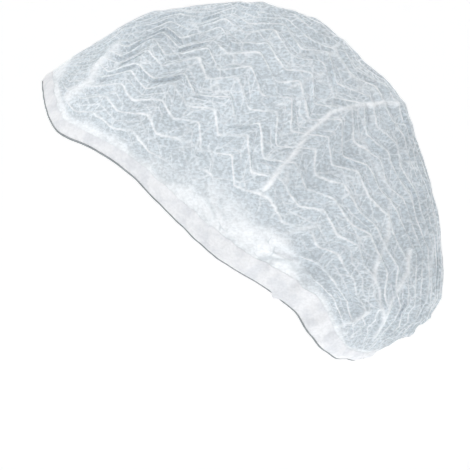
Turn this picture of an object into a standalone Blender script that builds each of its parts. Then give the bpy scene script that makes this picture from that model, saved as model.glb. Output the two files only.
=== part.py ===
"""Disposable pleated cap of nonwoven cloth: crown, hem and elastic. Metres, +Z up, forehead toward -X."""

import math

import bpy
import numpy as np

# Main sizes, in millimetres
OPENING_LENGTH = 247.6  # straight across the opening, forehead to nape
OPENING_FALL = 40.53  # degrees that the opening tips down toward the nape
OPENING_HALF_WIDTH = 77.0
FOREHEAD_FULLNESS = 0.26  # how much wider than an oval the opening is toward the forehead
CROWN_REACH = 105.6  # from the crown's centre to its top
CROWN_HALF_WIDTH = 101.0  # half of the puffed width
CROWN_BACK = 3.9  # the crown's centre, from the middle of the opening toward the nape
CROWN_RISE = 34.0  # and above the line of the opening

# Cloth and fits, in millimetres
CROWN_WALL = 1.3
LEAF_WALL = 1.1  # each of the hem's two leaves
FIT_GAP = 0.3  # between one piece and the next
WEB_WALL = 1.2  # the hem's fold below the crown's edge
ELASTIC_SIZE = 1.7
ELASTIC_SHOWS = 0.8  # how far the elastic stands out of its groove
LIP_BACK = 0.9  # the hem's lips stop this far before the crown starts to puff
SQUARE_REACH = 22.0  # the cloth leaves the hem square to it, and bends away within this length
SIDE_LEAN = 0.12  # how far the rows crowd toward the nape along the hem

# Pleats: the number of folds across the crown, and where they thin out toward the ends
COLUMNS = 64
ROWS = 28
FRONT_COLUMNS = (16, 32)
BACK_COLUMNS = (16, 32, 32)
LOBE_ROWS = 7  # rows that make the scalloped lower back edge
LOBE_STEP = 7.1
LOBE_DEPTH = 1.5
FRONT_GATHER = 20.0  # half length of hem that the pleats run into at the forehead
BACK_GATHER = 40.0  # the same at the nape
STEEPEST = 0.36  # a fold's half height as a share of its width
RIM_WAVE = 0.6  # in and out wave of the gathered rim, full at the nape
GATHER_DEPTH = 1.5
GATHER_REACH = 0.24  # share of the way from hem to top that the gathers reach
TAB_LENGTH = 2.4  # a tuck of cloth that shows below the hem beside the ear
TAB_FLARE = 0.8
TAB_SHARE = 0.80
HEM_WIDTH = 18.0  # at its widest, beside the ear
PLEAT_RISE = 1.3  # half the height of a full pleat
FOLD_RISE = 3.0  # height of the largest fold
FOLD_FADE = 45.0  # the large folds die away within this distance of the middle
LOBE_SPREAD = 18.0  # the lobes are full within this distance of the middle
LOBE_FADE = 34.0  # and die away within this much more

# Outline of the crown seen from the side: angle above the line of the opening, from the nape, and
# reach as a share of CROWN_REACH
OUTLINE = (
    (-16.2, 1.200),
    (-9.5, 1.236),
    (-3.5, 1.270),
    (2.5, 1.286),
    (8.5, 1.282),
    (14.5, 1.230),
    (20.5, 1.172),
    (26.5, 1.124),
    (32.5, 1.078),
    (38.5, 1.044),
    (44.5, 1.016),
    (50.5, 1.000),
    (56.5, 0.986),
    (62.5, 0.984),
    (68.5, 0.988),
    (74.5, 0.972),
    (80.5, 0.944),
    (86.5, 0.943),
    (92.5, 0.957),
    (98.5, 0.971),
    (104.5, 0.984),
    (110.5, 0.984),
    (116.5, 0.990),
    (122.5, 1.000),
    (128.5, 1.004),
    (134.5, 1.002),
    (140.5, 1.002),
    (146.5, 1.010),
    (152.5, 1.028),
    (158.5, 1.064),
    (164.5, 1.094),
    (170.5, 1.108),
    (176.5, 1.126),
    (182.5, 1.166),
    (188.5, 1.216),
    (195.3, 1.250),
    (215.5, 1.130),
    (240.5, 0.960),
    (272.5, 0.840),
    (302.5, 0.900),
    (325.5, 1.040),
)

# Lower edge from the side: share of the way from forehead to nape, drop below that line as a share
# of OPENING_LENGTH
EDGE = (
    (0.000, 0.000),
    (0.030, 0.024),
    (0.071, 0.050),
    (0.107, 0.062),
    (0.138, 0.057),
    (0.176, 0.044),
    (0.224, 0.033),
    (0.269, 0.027),
    (0.319, 0.026),
    (0.373, 0.031),
    (0.428, 0.035),
    (0.482, 0.039),
    (0.534, 0.042),
    (0.584, 0.041),
    (0.629, 0.035),
    (0.673, 0.027),
    (0.718, 0.020),
    (0.750, 0.021),
    (0.791, 0.019),
    (0.824, 0.027),
    (0.859, 0.038),
    (0.896, 0.045),
    (0.930, 0.046),
    (0.960, 0.035),
    (0.982, 0.020),
    (1.000, 0.000),
)

# Depth of the hem: share of the way from forehead to nape, share of HEM_WIDTH
HEM_DEPTH = (
    (0.00, 0.55),
    (0.30, 0.56),
    (0.46, 0.83),
    (0.60, 1.00),
    (0.82, 1.00),
    (0.93, 0.72),
    (1.00, 0.55),
)

# Pleats along the crown: share of the way from forehead to nape, zigzag as a share of the row step,
# half height as a share of PLEAT_RISE
PLEATS = (
    (0.00, 0.00, 0.40),
    (0.08, 0.10, 0.75),
    (0.20, 0.34, 1.00),
    (0.55, 0.36, 1.00),
    (0.70, 0.16, 1.22),
    (0.88, 0.10, 1.15),
    (1.00, 0.00, 0.45),
)

# Large folds from the side: three points, each as a share of OPENING_LENGTH from the forehead along the
# opening and a share of CROWN_REACH above it, height as a share of FOLD_RISE (below zero is a dent),
# half width as a share of CROWN_REACH
FOLDS = (
    ("long ridge", (0.685, 1.193), (0.585, 0.807), (0.571, 0.358), 1.00, 0.076),
    ("dent below long ridge", (0.693, 0.998), (0.638, 0.730), (0.631, 0.401), -1.00, 0.104),
    ("nape fold", (0.857, -0.080), (0.920, 0.060), (0.934, 0.232), 0.87, 0.066),
    ("dent below nape fold", (0.923, -0.052), (0.959, 0.059), (0.974, 0.193), -0.73, 0.076),
    ("ear crease", (0.629, -0.011), (0.680, 0.092), (0.750, 0.179), -1.07, 0.066),
    ("ear bunch", (0.484, 0.106), (0.582, 0.118), (0.675, 0.212), 1.00, 0.104),
    ("back corner", (0.564, 1.212), (0.636, 1.224), (0.693, 1.207), 0.67, 0.076),
    ("temple dent", (0.199, 0.192), (0.291, 0.218), (0.380, 0.185), -0.60, 0.095),
)
FAR_SIDE_FOLDS = 0.7  # the same folds are shallower on the far side


def through(table, at, column=1, period=None):
    """A smooth curve through one column of a table, read at one value or at an array of them."""
    keys = np.array([row[0] for row in table], float)
    values = np.array([row[column] for row in table], float)
    if period:
        keys = np.concatenate([keys[-2:] - period, keys, keys[:2] + period])
        values = np.concatenate([values[-2:], values, values[:2]])
        at = keys[2] + np.mod(np.asarray(at, float) - keys[2], period)
    at = np.clip(np.asarray(at, float), keys[0], keys[-1])
    slopes = np.gradient(values, keys)
    cell = np.clip(np.searchsorted(keys, at, side="right") - 1, 0, len(keys) - 2)
    width = keys[cell + 1] - keys[cell]
    f = (at - keys[cell]) / width
    low = values[cell] * (1 + 2 * f) * (1 - f) ** 2 + slopes[cell] * width * f * (1 - f) ** 2
    high = values[cell + 1] * f * f * (3 - 2 * f) - slopes[cell + 1] * width * f * f * (1 - f)
    return low + high


def unit(vectors):
    """Vectors of length one."""
    return vectors / np.linalg.norm(vectors, axis=-1, keepdims=True)


def smooth_step(value):
    """From 0 to 1 with level ends."""
    value = np.clip(value, 0.0, 1.0)
    return value * value * (3 - 2 * value)


CENTRE = np.array([CROWN_BACK, 0.0, CROWN_RISE])


def place(direction, swell):
    """The point in a direction of the crown's centre; a swell of 1 is the outline.

    All points are in the opening's own frame: X from forehead to nape, Z out through the top of the
    head. The finished pieces are tipped by OPENING_FALL.
    """
    angle = np.degrees(np.arctan2(direction[..., 2], direction[..., 0]))
    reach = CROWN_REACH * through(OUTLINE, angle, period=360.0)
    scale = np.stack([reach, np.full_like(reach, CROWN_HALF_WIDTH), reach], axis=-1)
    return CENTRE + direction * scale * np.asarray(swell)[..., None]


def direction_of(point):
    """The direction and the swell of a point."""
    x = point[..., 0] - CROWN_BACK
    z = point[..., 2] - CROWN_RISE
    reach = CROWN_REACH * through(OUTLINE, np.degrees(np.arctan2(z, x)), period=360.0)
    flat = np.stack([x / reach, point[..., 1] / CROWN_HALF_WIDTH, z / reach], axis=-1)
    swell = np.linalg.norm(flat, axis=-1)
    return flat / swell[..., None], swell


def along_edge(turn):
    """Points of the lower edge; a turn of 0 is the forehead, pi the nape, and +Y comes first."""
    share = (1 - np.cos(turn)) / 2
    drop = through(EDGE, share) * OPENING_LENGTH
    half = OPENING_HALF_WIDTH * np.sin(turn) * (1 + FOREHEAD_FULLNESS * (1 - share) ** 3)
    return np.stack([(share - 0.5) * OPENING_LENGTH, half, -drop], axis=-1)


TURNS = np.linspace(0.0, 2 * math.pi, 1441)
EDGE_POINTS = along_edge(TURNS)
EDGE_RUN = np.concatenate(
    [[0.0], np.cumsum(np.linalg.norm(np.diff(EDGE_POINTS, axis=0), axis=1))]
)
EDGE_TOTAL = EDGE_RUN[-1]
APEX = np.array([0.0, 0.0, 1.0])


def edge_frame(run):
    """The edge's point, the way into the crown, the way out of the cloth, and the hem's depth.

    The run is in millimetres along the edge from the forehead, positive toward +Y.
    """
    run = np.mod(np.asarray(run, float), EDGE_TOTAL)
    turn = np.interp(run, EDGE_RUN, TURNS)
    point = along_edge(turn)
    tangent = unit(along_edge(turn + 0.01) - along_edge(turn - 0.01))
    direction, swell = direction_of(point)
    dot = np.clip(direction @ APEX, -1.0, 1.0)
    angle = np.arccos(dot)
    part = 0.09
    inner = (
        np.sin((1 - part) * angle)[..., None] * direction + np.sin(part * angle)[..., None] * APEX
    ) / np.sin(angle)[..., None]
    inner_swell = swell + (1 - swell) * math.sin(math.pi / 2 * part / 0.4)
    inward = place(inner, inner_swell) - point
    inward = unit(inward - (inward * tangent).sum(-1, keepdims=True) * tangent)
    outward = np.cross(inward, tangent)
    middle = place(APEX[None], np.array([0.6]))[0]
    facing = np.sign(((point - middle) * outward).sum(-1, keepdims=True))
    share = (1 - np.cos(turn)) / 2
    return point, inward, unit(outward * facing), through(HEM_DEPTH, share) * HEM_WIDTH


def mouth(run):
    """Where the crown leaves the hem, as a direction and a swell."""
    point, inward, outward, depth = edge_frame(run)
    return direction_of(point + inward * depth[..., None])


def mid_outline():
    """Angles and lengths along the outline from the front of the hem's mouth to its back."""
    front = mouth(np.array([0.0]))[0][0]
    back = mouth(np.array([EDGE_TOTAL / 2]))[0][0]
    first = (math.degrees(math.atan2(front[2], front[0])) + 90.0) % 360.0 - 90.0
    last = (math.degrees(math.atan2(back[2], back[0])) + 90.0) % 360.0 - 90.0
    angles = np.linspace(first, last, 901)
    radians = np.radians(angles)
    direction = np.stack([np.cos(radians), 0 * radians, np.sin(radians)], axis=-1)
    points = place(direction, np.ones(len(angles)))
    steps = np.linalg.norm(np.diff(points, axis=0), axis=1)
    return angles, np.concatenate([[0.0], np.cumsum(steps)])


MID_ANGLES, MID_RUN = mid_outline()
MID_TOTAL = MID_RUN[-1]


def row_places():
    """For each row of pleat corners, its place along the middle and along the side of the hem."""
    lobes = LOBE_STEP * np.arange(LOBE_ROWS, -1, -1)
    plain = np.linspace(0.0, MID_TOTAL - lobes[0], ROWS - LOBE_ROWS + 1)
    middle = np.concatenate([plain[:-1], MID_TOTAL - lobes])
    share = np.linspace(0.0, 1.0, ROWS + 1)
    share = share + SIDE_LEAN * np.sin(math.pi * share)
    side = FRONT_GATHER + share * (EDGE_TOTAL / 2 - BACK_GATHER - FRONT_GATHER)
    return middle, side


MID_PLACES, SIDE_PLACES = row_places()


def arc(side_direction, angle, across):
    """Directions on the circle from one side of the hem over the top to the other."""
    radians = math.radians(angle)
    top = np.array([math.cos(radians), 0.0, math.sin(radians)])
    lean = np.array([side_direction[2] - top[2], 0.0, top[0] - side_direction[0]])
    lean = unit(lean)
    offset = float(lean @ top)
    up = top - lean * offset
    radius = float(np.linalg.norm(up))
    up = up / radius
    end = side_direction - lean * offset
    sweep = math.atan2(abs(end[1]), float(end @ up))
    turn = across * sweep
    ring = np.cos(turn)[:, None] * up + np.sin(turn)[:, None] * np.array([0.0, 1.0, 0.0])
    return lean * offset + radius * ring


def end_correction(run_of, middle, side, across):
    """What turns the circle of an end row into the hem's own mouth there."""
    target, target_swell = mouth(run_of(across))
    side_direction, side_swell = mouth(np.array([side]))
    angle = float(np.interp(middle, MID_RUN, MID_ANGLES))
    circle = arc(side_direction[0], angle, across)
    plain = 1 - (1 - side_swell[0]) * hug(across)
    return target - circle, target_swell - plain


def hug(across):
    """How far the cloth is drawn in toward the hem: 1 at the hem, 0 well above it."""
    return 1 - np.sin(math.pi / 2 * np.clip((1 - np.abs(across)) / 0.36, 0.0, 1.0))


def front_run(across):
    """Place along the edge of the front end of the pleats."""
    return FRONT_GATHER * across


def back_run(across):
    """Place along the edge of the back end of the pleats."""
    return EDGE_TOTAL / 2 - BACK_GATHER * across


def arched_row(row, across):
    """Points of a row before it is squared up to the hem."""
    rows = np.arange(ROWS + 1)
    middle = float(np.interp(row, rows, MID_PLACES))
    side = float(np.interp(row, rows, SIDE_PLACES))
    side_direction, side_swell = mouth(np.array([side]))
    direction = arc(side_direction[0], float(np.interp(middle, MID_RUN, MID_ANGLES)), across)
    swell = 1 - (1 - side_swell[0]) * hug(across)
    front = max(0.0, 1 - row / 3.0) ** 2
    back = max(0.0, 1 - (ROWS - row) / 6.0) ** 2
    if front > 0:
        turn, grow = end_correction(front_run, MID_PLACES[0], SIDE_PLACES[0], across)
        direction = direction + front * turn
        swell = swell + front * grow
    if back > 0:
        turn, grow = end_correction(back_run, MID_PLACES[-1], SIDE_PLACES[-1], across)
        direction = direction + back * turn
        swell = swell + back * grow
    return place(unit(direction), swell)


def half_lengths():
    """Half the length of each whole row, in millimetres."""
    across = np.linspace(0.0, 1.0, 33)
    rows = [arched_row(row, across) for row in range(ROWS + 1)]
    return np.array([np.linalg.norm(np.diff(row, axis=0), axis=1).sum() for row in rows])


def smooth_row(row, across):
    """Points of the unpleated crown along a row; a row may lie between two whole ones."""
    points = arched_row(row, across)
    if not 0 < row < ROWS:
        return points
    rows = np.arange(ROWS + 1)
    side = float(np.interp(row, rows, SIDE_PLACES))
    half = float(np.interp(row, rows, HALF_LENGTHS))
    firm = min(1.0, row / 3.0, (ROWS - row) / 3.0)
    inside = (1 - np.abs(across)) * half
    for hand in (-1.0, 1.0):
        point, inward, outward, depth = edge_frame(np.array([hand * side]))
        start = point[0] + inward[0] * depth[0]
        near = across * hand > 0
        pull = 1 - smooth_step(inside / min(SQUARE_REACH, 0.25 * half))
        pull = np.where(near, firm * pull, 0.0)
        square = start + inside[:, None] * inward[0]
        points = points + pull[:, None] * (square - points)
    return points


HALF_LENGTHS = half_lengths()


def normals_of(row, across):
    """Outward directions of the unpleated crown along a row."""
    step = 0.2
    before = smooth_row(max(0.0, row - step), across)
    after = smooth_row(min(float(ROWS), row + step), across)
    left = smooth_row(row, np.clip(across - 0.01, -1, 1))
    right = smooth_row(row, np.clip(across + 0.01, -1, 1))
    normal = unit(np.cross(right - left, after - before))
    facing = np.sign(((smooth_row(row, across) - CENTRE) * normal).sum(-1, keepdims=True))
    return normal * facing


def fold_height(points):
    """Height of the large folds at each point, in millimetres."""
    total = np.zeros(len(points))
    flat = points[:, [0, 2]]
    for name, first, second, third, height, width in FOLDS:
        corners = [
            np.array([(u - 0.5) * OPENING_LENGTH, v * CROWN_REACH])
            for u, v in (first, second, third)
        ]
        nearest = np.full(len(points), 1e9)
        for start, end in zip(corners[:-1], corners[1:]):
            line = end - start
            share = np.clip(((flat - start) @ line) / (line @ line), 0.0, 1.0)
            foot = start + share[:, None] * line
            nearest = np.minimum(nearest, np.linalg.norm(flat - foot, axis=1))
        total += height * FOLD_RISE * np.exp(-((nearest / (width * CROWN_REACH)) ** 2))
    away = smooth_step(np.abs(points[:, 1]) / FOLD_FADE)
    far = np.where(points[:, 1] > 0, FAR_SIDE_FOLDS, 1.0)
    return total * away * far


def row_of_pleats(row, columns):
    """One row of pleat corners: points of the outer face and outward directions."""
    across = np.linspace(-1.0, 1.0, columns + 1)
    share = MID_PLACES[row] / MID_TOTAL
    zigzag = float(through(PLEATS, share, 1))
    relief = float(through(PLEATS, share, 2)) * PLEAT_RISE
    plain = smooth_row(row, across)
    length = np.linalg.norm(np.diff(plain, axis=0), axis=1).sum()
    before = smooth_row(max(0, row - 1), across)
    after = smooth_row(min(ROWS, row + 1), across)
    step = np.linalg.norm(after - before, axis=1) / 2
    side = 1 if row % 2 else -1
    sway = 1 + 0.25 * math.sin(1.7 * row) * np.sin(5.0 * across + 0.9 * row)
    shift = side * zigzag * step * sway * (1 - np.abs(across) ** 6) / (length / 2)
    if 0 < row < ROWS:
        across = across + shift
    points = smooth_row(row, across)
    normal = normals_of(row, across)
    if row in (0, ROWS):
        runs = front_run(across) if row == 0 else back_run(across)
        normal = edge_frame(runs)[2]
        return points, normal
    ends = min(1.0, row / 3.0, (ROWS - row) / 2.0)
    rise = np.minimum(np.arange(columns + 1), np.arange(columns + 1)[::-1]) / 3.6
    rise = np.clip(rise, 0.0, 1.0) * ends
    height = min(relief, STEEPEST * length / columns)
    valley = np.arange(columns + 1) % 2
    pleat = -2.0 * height * valley * rise * (1 + 0.2 * np.sin(2.3 * np.arange(columns + 1) + row))
    inside = 1 - np.abs(across)
    bump = smooth_step(inside / 0.11) * (1 - smooth_step(inside / GATHER_REACH))
    gather = side * GATHER_DEPTH * bump * smooth_step((share - 0.25) / 0.3) * ends
    lobe = np.zeros(columns + 1)
    if row >= ROWS - LOBE_ROWS:
        near_middle = 1 - smooth_step((np.abs(points[:, 1]) - LOBE_SPREAD) / LOBE_FADE)
        lobe = (0.5 * side - 0.5) * LOBE_DEPTH * near_middle * ends
    folds = fold_height(points) * smooth_step(inside / 0.14) * ends
    return points + normal * (pleat + gather + lobe + folds)[:, None], normal


def zipper(first, second):
    """Triangles between two rows of corners that share their ends but not their number."""
    faces = []
    i = j = 0
    while i < len(first) - 1 or j < len(second) - 1:
        ahead = (i + 1) * (len(second) - 1) if i < len(first) - 1 else math.inf
        other = (j + 1) * (len(first) - 1) if j < len(second) - 1 else math.inf
        if ahead <= other:
            faces.append((first[i], first[i + 1], second[j]))
            i += 1
        else:
            faces.append((first[i], second[j + 1], second[j]))
            j += 1
    return faces


def columns_in(row):
    """How many folds a row has across the crown."""
    if row < len(FRONT_COLUMNS):
        return FRONT_COLUMNS[row]
    if ROWS - row < len(BACK_COLUMNS):
        return BACK_COLUMNS[ROWS - row]
    return COLUMNS


def edge_runs():
    """Places along the edge that all three pieces share, from the nape side at -Y round the front."""
    front = front_run(np.linspace(-1.0, 1.0, columns_in(0) + 1))
    back = back_run(np.linspace(1.0, -1.0, columns_in(ROWS) + 1))
    return np.concatenate([front, SIDE_PLACES[1:-1], back, EDGE_TOTAL - SIDE_PLACES[-2:0:-1]])


def edge_frames():
    """The shared frames round the edge, with the small waves of the gathered rim."""
    runs = edge_runs()
    point, inward, outward, depth = edge_frame(runs)
    share = np.abs(np.mod(runs + EDGE_TOTAL / 2, EDGE_TOTAL) - EDGE_TOTAL / 2) / (EDGE_TOTAL / 2)
    side = np.where(np.arange(len(runs)) % 2 == 0, 1.0, -1.0)
    wave = RIM_WAVE * side * smooth_step((share - 0.45) / 0.4)
    low = point + outward * wave[:, None]
    high = point + inward * depth[:, None]
    return low, high, outward, depth, runs


def make_object(name, points, faces, colour):
    """A closed mesh object from millimetre points, tipped by the opening's fall and facing outward."""
    points = np.asarray(points, float)
    fall = math.radians(OPENING_FALL)
    along, up = points[:, 0], points[:, 2]
    points = np.stack(
        [
            along * math.cos(fall) + up * math.sin(fall),
            points[:, 1],
            up * math.cos(fall) - along * math.sin(fall),
        ],
        axis=-1,
    )
    faces = np.asarray(faces, int)
    a, b, c = (points[faces[:, k]] for k in range(3))
    if (a * np.cross(b, c)).sum() < 0:
        faces = faces[:, ::-1]
    mesh = bpy.data.meshes.new(name)
    mesh.from_pydata((points / 1000.0).tolist(), [], faces.tolist())
    mesh.validate()
    obj = bpy.data.objects.new(name, mesh)
    bpy.context.scene.collection.objects.link(obj)
    material = bpy.data.materials.new(name + "_material")
    material.use_nodes = True
    shader = material.node_tree.nodes["Principled BSDF"]
    shader.inputs["Base Color"].default_value = (*colour, 1.0)
    shader.inputs["Roughness"].default_value = 0.8
    mesh.materials.append(material)
    return obj


def band_faces(heights, count):
    """Triangles of a closed band with the same ring of corners at every place round the edge.

    Each quad is cut from its low corner here to its high corner there, the same way in every piece,
    so that faces which lie side by side keep an even gap.
    """
    ring = len(heights)
    faces = []
    for k in range(count):
        here = k * ring
        there = (k + 1) % count * ring
        for m in range(ring):
            n = (m + 1) % ring
            if heights[m] <= heights[n]:
                faces.append((here + m, here + n, there + n))
                faces.append((here + m, there + n, there + m))
            else:
                faces.append((here + m, here + n, there + m))
                faces.append((here + n, there + n, there + m))
    return faces


def build_crown():
    """The pleated bag, one closed wall, with its plain margin that sits in the hem."""
    outer_points = []
    normals = []
    rows = []
    count = 0
    for row in range(ROWS + 1):
        points, normal = row_of_pleats(row, columns_in(row))
        outer_points.append(points)
        normals.append(normal)
        rows.append(list(range(count, count + len(points))))
        count += len(points)
    points = np.concatenate(outer_points)
    normal = np.concatenate(normals)
    rim = rows[0] + [row[-1] for row in rows[1:-1]] + rows[-1][::-1] + [row[0] for row in rows[-2:0:-1]]
    low, high, outward, depth, runs = edge_frames()
    points[rim] = high
    normal[rim] = outward
    half = CROWN_WALL / 2
    outer = points + normal * half
    inner = points - normal * half
    bottom = ELASTIC_SIZE + FIT_GAP + WEB_WALL + FIT_GAP
    share = (bottom / depth)[:, None]
    foot = low + (high - low) * share
    faces = []
    for first, second in zip(rows[:-1], rows[1:]):
        upper = zipper(first, second)
        faces += upper
        faces += [(c + count, b + count, a + count) for a, b, c in upper]
    size = len(rim)
    outer_foot = 2 * count
    inner_foot = outer_foot + size
    for k in range(size):
        m = (k + 1) % size
        quads = (
            (rim[m], rim[k], outer_foot + k, outer_foot + m),
            (outer_foot + m, outer_foot + k, inner_foot + k, inner_foot + m),
            (rim[k] + count, rim[m] + count, inner_foot + m, inner_foot + k),
        )
        for a, b, c, d in quads[:2]:
            faces.append((a, b, c))
            faces.append((a, c, d))
        a, b, c, d = quads[2]
        faces.append((a, b, d))
        faces.append((b, c, d))
    everything = np.concatenate([outer, inner, foot + outward * half, foot - outward * half])
    make_object("crown", everything, faces, (0.80, 0.84, 0.87))


def build_hem():
    """The folded band round the opening, with a slot above for the crown and a groove below."""
    low, high, outward, depth, runs = edge_frames()
    slot = CROWN_WALL / 2 + FIT_GAP
    skin = slot + LEAF_WALL
    floor = ELASTIC_SIZE + FIT_GAP
    groove = ELASTIC_SIZE / 2 + FIT_GAP
    inward = unit(high - low)
    length = np.linalg.norm(high - low, axis=1)
    points = []
    tab = int(np.argmin(np.abs(runs - (EDGE_TOTAL - TAB_SHARE * EDGE_TOTAL / 2))))
    for k in range(len(runs)):
        top = length[k] - LIP_BACK
        foot = ELASTIC_SHOWS - (TAB_LENGTH if k == tab else 0.0)
        section = (
            (foot, skin + (TAB_FLARE if k == tab else 0.0)),
            (top, skin),
            (top, slot),
            (floor + WEB_WALL, slot),
            (floor + WEB_WALL, -slot),
            (top, -slot),
            (top, -skin),
            (ELASTIC_SHOWS, -skin),
            (ELASTIC_SHOWS, -groove),
            (floor, -groove),
            (floor, groove),
            (foot, groove),
        )
        for u, w in section:
            points.append(low[k] + inward[k] * u + outward[k] * w)
    heights = [0.0, 9.0, 9.0, 3.0, 3.0, 9.0, 9.0, 0.0, 0.0, 1.0, 1.0, 0.0]
    make_object("hem", points, band_faces(heights, len(runs)), (0.86, 0.88, 0.90))


def build_elastic():
    """The thin cord in the groove under the hem."""
    low, high, outward, depth, runs = edge_frames()
    inward = unit(high - low)
    half = ELASTIC_SIZE / 2
    points = []
    for k in range(len(runs)):
        for corner in range(6):
            turn = math.radians(60 * corner + 30)
            u = half + half * 0.98 * math.sin(turn)
            w = half * 0.98 * math.cos(turn)
            points.append(low[k] + inward[k] * u + outward[k] * w)
    heights = [math.sin(math.radians(60 * corner + 30)) for corner in range(6)]
    make_object("elastic", points, band_faces(heights, len(runs)), (0.45, 0.48, 0.50))


def main():
    """Builds the three pieces in an empty file."""
    for obj in list(bpy.data.objects):
        bpy.data.objects.remove(obj, do_unlink=True)
    build_crown()
    build_hem()
    build_elastic()


main()
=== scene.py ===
"""Looks of a disposable pleated cap of thin white nonwoven cloth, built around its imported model."""

import logging
import math
from dataclasses import dataclass
from enum import Enum

import bpy
import numpy as np
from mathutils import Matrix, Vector, noise


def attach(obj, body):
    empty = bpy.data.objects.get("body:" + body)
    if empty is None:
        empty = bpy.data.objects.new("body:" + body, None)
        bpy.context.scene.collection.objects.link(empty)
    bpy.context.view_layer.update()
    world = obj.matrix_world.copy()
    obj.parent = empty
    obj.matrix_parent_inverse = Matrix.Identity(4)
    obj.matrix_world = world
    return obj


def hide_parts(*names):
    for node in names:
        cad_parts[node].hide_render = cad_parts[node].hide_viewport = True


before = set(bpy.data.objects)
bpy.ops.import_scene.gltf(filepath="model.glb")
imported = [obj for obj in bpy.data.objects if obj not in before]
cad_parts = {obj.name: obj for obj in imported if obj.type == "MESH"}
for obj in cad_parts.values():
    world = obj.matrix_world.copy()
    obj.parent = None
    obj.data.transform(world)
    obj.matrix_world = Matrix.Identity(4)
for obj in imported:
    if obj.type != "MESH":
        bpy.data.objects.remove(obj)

Array = np.ndarray
Socket = bpy.types.NodeSocket
LOG = logging.getLogger("cap")
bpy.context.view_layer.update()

# Outline of the crown from the side: angle above the line of the opening, from the nape, and reach as a
# share of the crown's reach
OUTLINE = (
    (-16.2, 1.200),
    (-9.5, 1.236),
    (-3.5, 1.270),
    (2.5, 1.286),
    (8.5, 1.282),
    (14.5, 1.230),
    (20.5, 1.172),
    (26.5, 1.124),
    (32.5, 1.078),
    (38.5, 1.044),
    (44.5, 1.016),
    (50.5, 1.000),
    (56.5, 0.986),
    (62.5, 0.984),
    (68.5, 0.988),
    (74.5, 0.972),
    (80.5, 0.944),
    (86.5, 0.943),
    (92.5, 0.957),
    (98.5, 0.971),
    (104.5, 0.984),
    (110.5, 0.984),
    (116.5, 0.990),
    (122.5, 1.000),
    (128.5, 1.004),
    (134.5, 1.002),
    (140.5, 1.002),
    (146.5, 1.010),
    (152.5, 1.028),
    (158.5, 1.064),
    (164.5, 1.094),
    (170.5, 1.108),
    (176.5, 1.126),
    (182.5, 1.166),
    (188.5, 1.216),
    (195.3, 1.250),
    (215.5, 1.130),
    (240.5, 0.960),
    (272.5, 0.840),
    (302.5, 0.900),
    (325.5, 1.040),
)

# Lower edge from the side: share of the way from forehead to nape, drop as a share of the opening's length
EDGE = (
    (0.000, 0.000),
    (0.030, 0.024),
    (0.071, 0.050),
    (0.107, 0.062),
    (0.138, 0.057),
    (0.176, 0.044),
    (0.224, 0.033),
    (0.269, 0.027),
    (0.319, 0.026),
    (0.373, 0.031),
    (0.428, 0.035),
    (0.482, 0.039),
    (0.534, 0.042),
    (0.584, 0.041),
    (0.629, 0.035),
    (0.673, 0.027),
    (0.718, 0.020),
    (0.750, 0.021),
    (0.791, 0.019),
    (0.824, 0.027),
    (0.859, 0.038),
    (0.896, 0.045),
    (0.930, 0.046),
    (0.960, 0.035),
    (0.982, 0.020),
    (1.000, 0.000),
)

# Depth of the hem: share of the way from forehead to nape, share of the hem's width
HEM_DEPTH = (
    (0.00, 0.55),
    (0.30, 0.56),
    (0.46, 0.83),
    (0.60, 1.00),
    (0.82, 1.00),
    (0.93, 0.72),
    (1.00, 0.55),
)

# Pleats along the crown: share of the way from forehead to nape, zigzag as a share of the row step,
# half height as a share of the pleat rise
PLEATS = (
    (0.00, 0.00, 0.40),
    (0.08, 0.10, 0.75),
    (0.20, 0.34, 1.00),
    (0.55, 0.36, 1.00),
    (0.70, 0.16, 1.22),
    (0.88, 0.10, 1.15),
    (1.00, 0.00, 0.45),
)

# Large folds from the side: three points as shares of the opening's length and of the crown's reach,
# height as a share of the fold rise, half width as a share of the crown's reach
FOLDS = (
    ("long ridge", (0.685, 1.193), (0.585, 0.807), (0.571, 0.358), 1.00, 0.076),
    ("dent below long ridge", (0.693, 0.998), (0.638, 0.730), (0.631, 0.401), -1.00, 0.104),
    ("nape fold", (0.857, -0.080), (0.920, 0.060), (0.934, 0.232), 0.87, 0.066),
    ("dent below nape fold", (0.923, -0.052), (0.959, 0.059), (0.974, 0.193), -0.73, 0.076),
    ("ear crease", (0.629, -0.011), (0.680, 0.092), (0.750, 0.179), -1.07, 0.066),
    ("ear bunch", (0.484, 0.106), (0.582, 0.118), (0.675, 0.212), 1.00, 0.104),
    ("back corner", (0.564, 1.212), (0.636, 1.224), (0.693, 1.207), 0.67, 0.076),
    ("temple dent", (0.199, 0.192), (0.291, 0.218), (0.380, 0.185), -0.60, 0.095),
)

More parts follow.
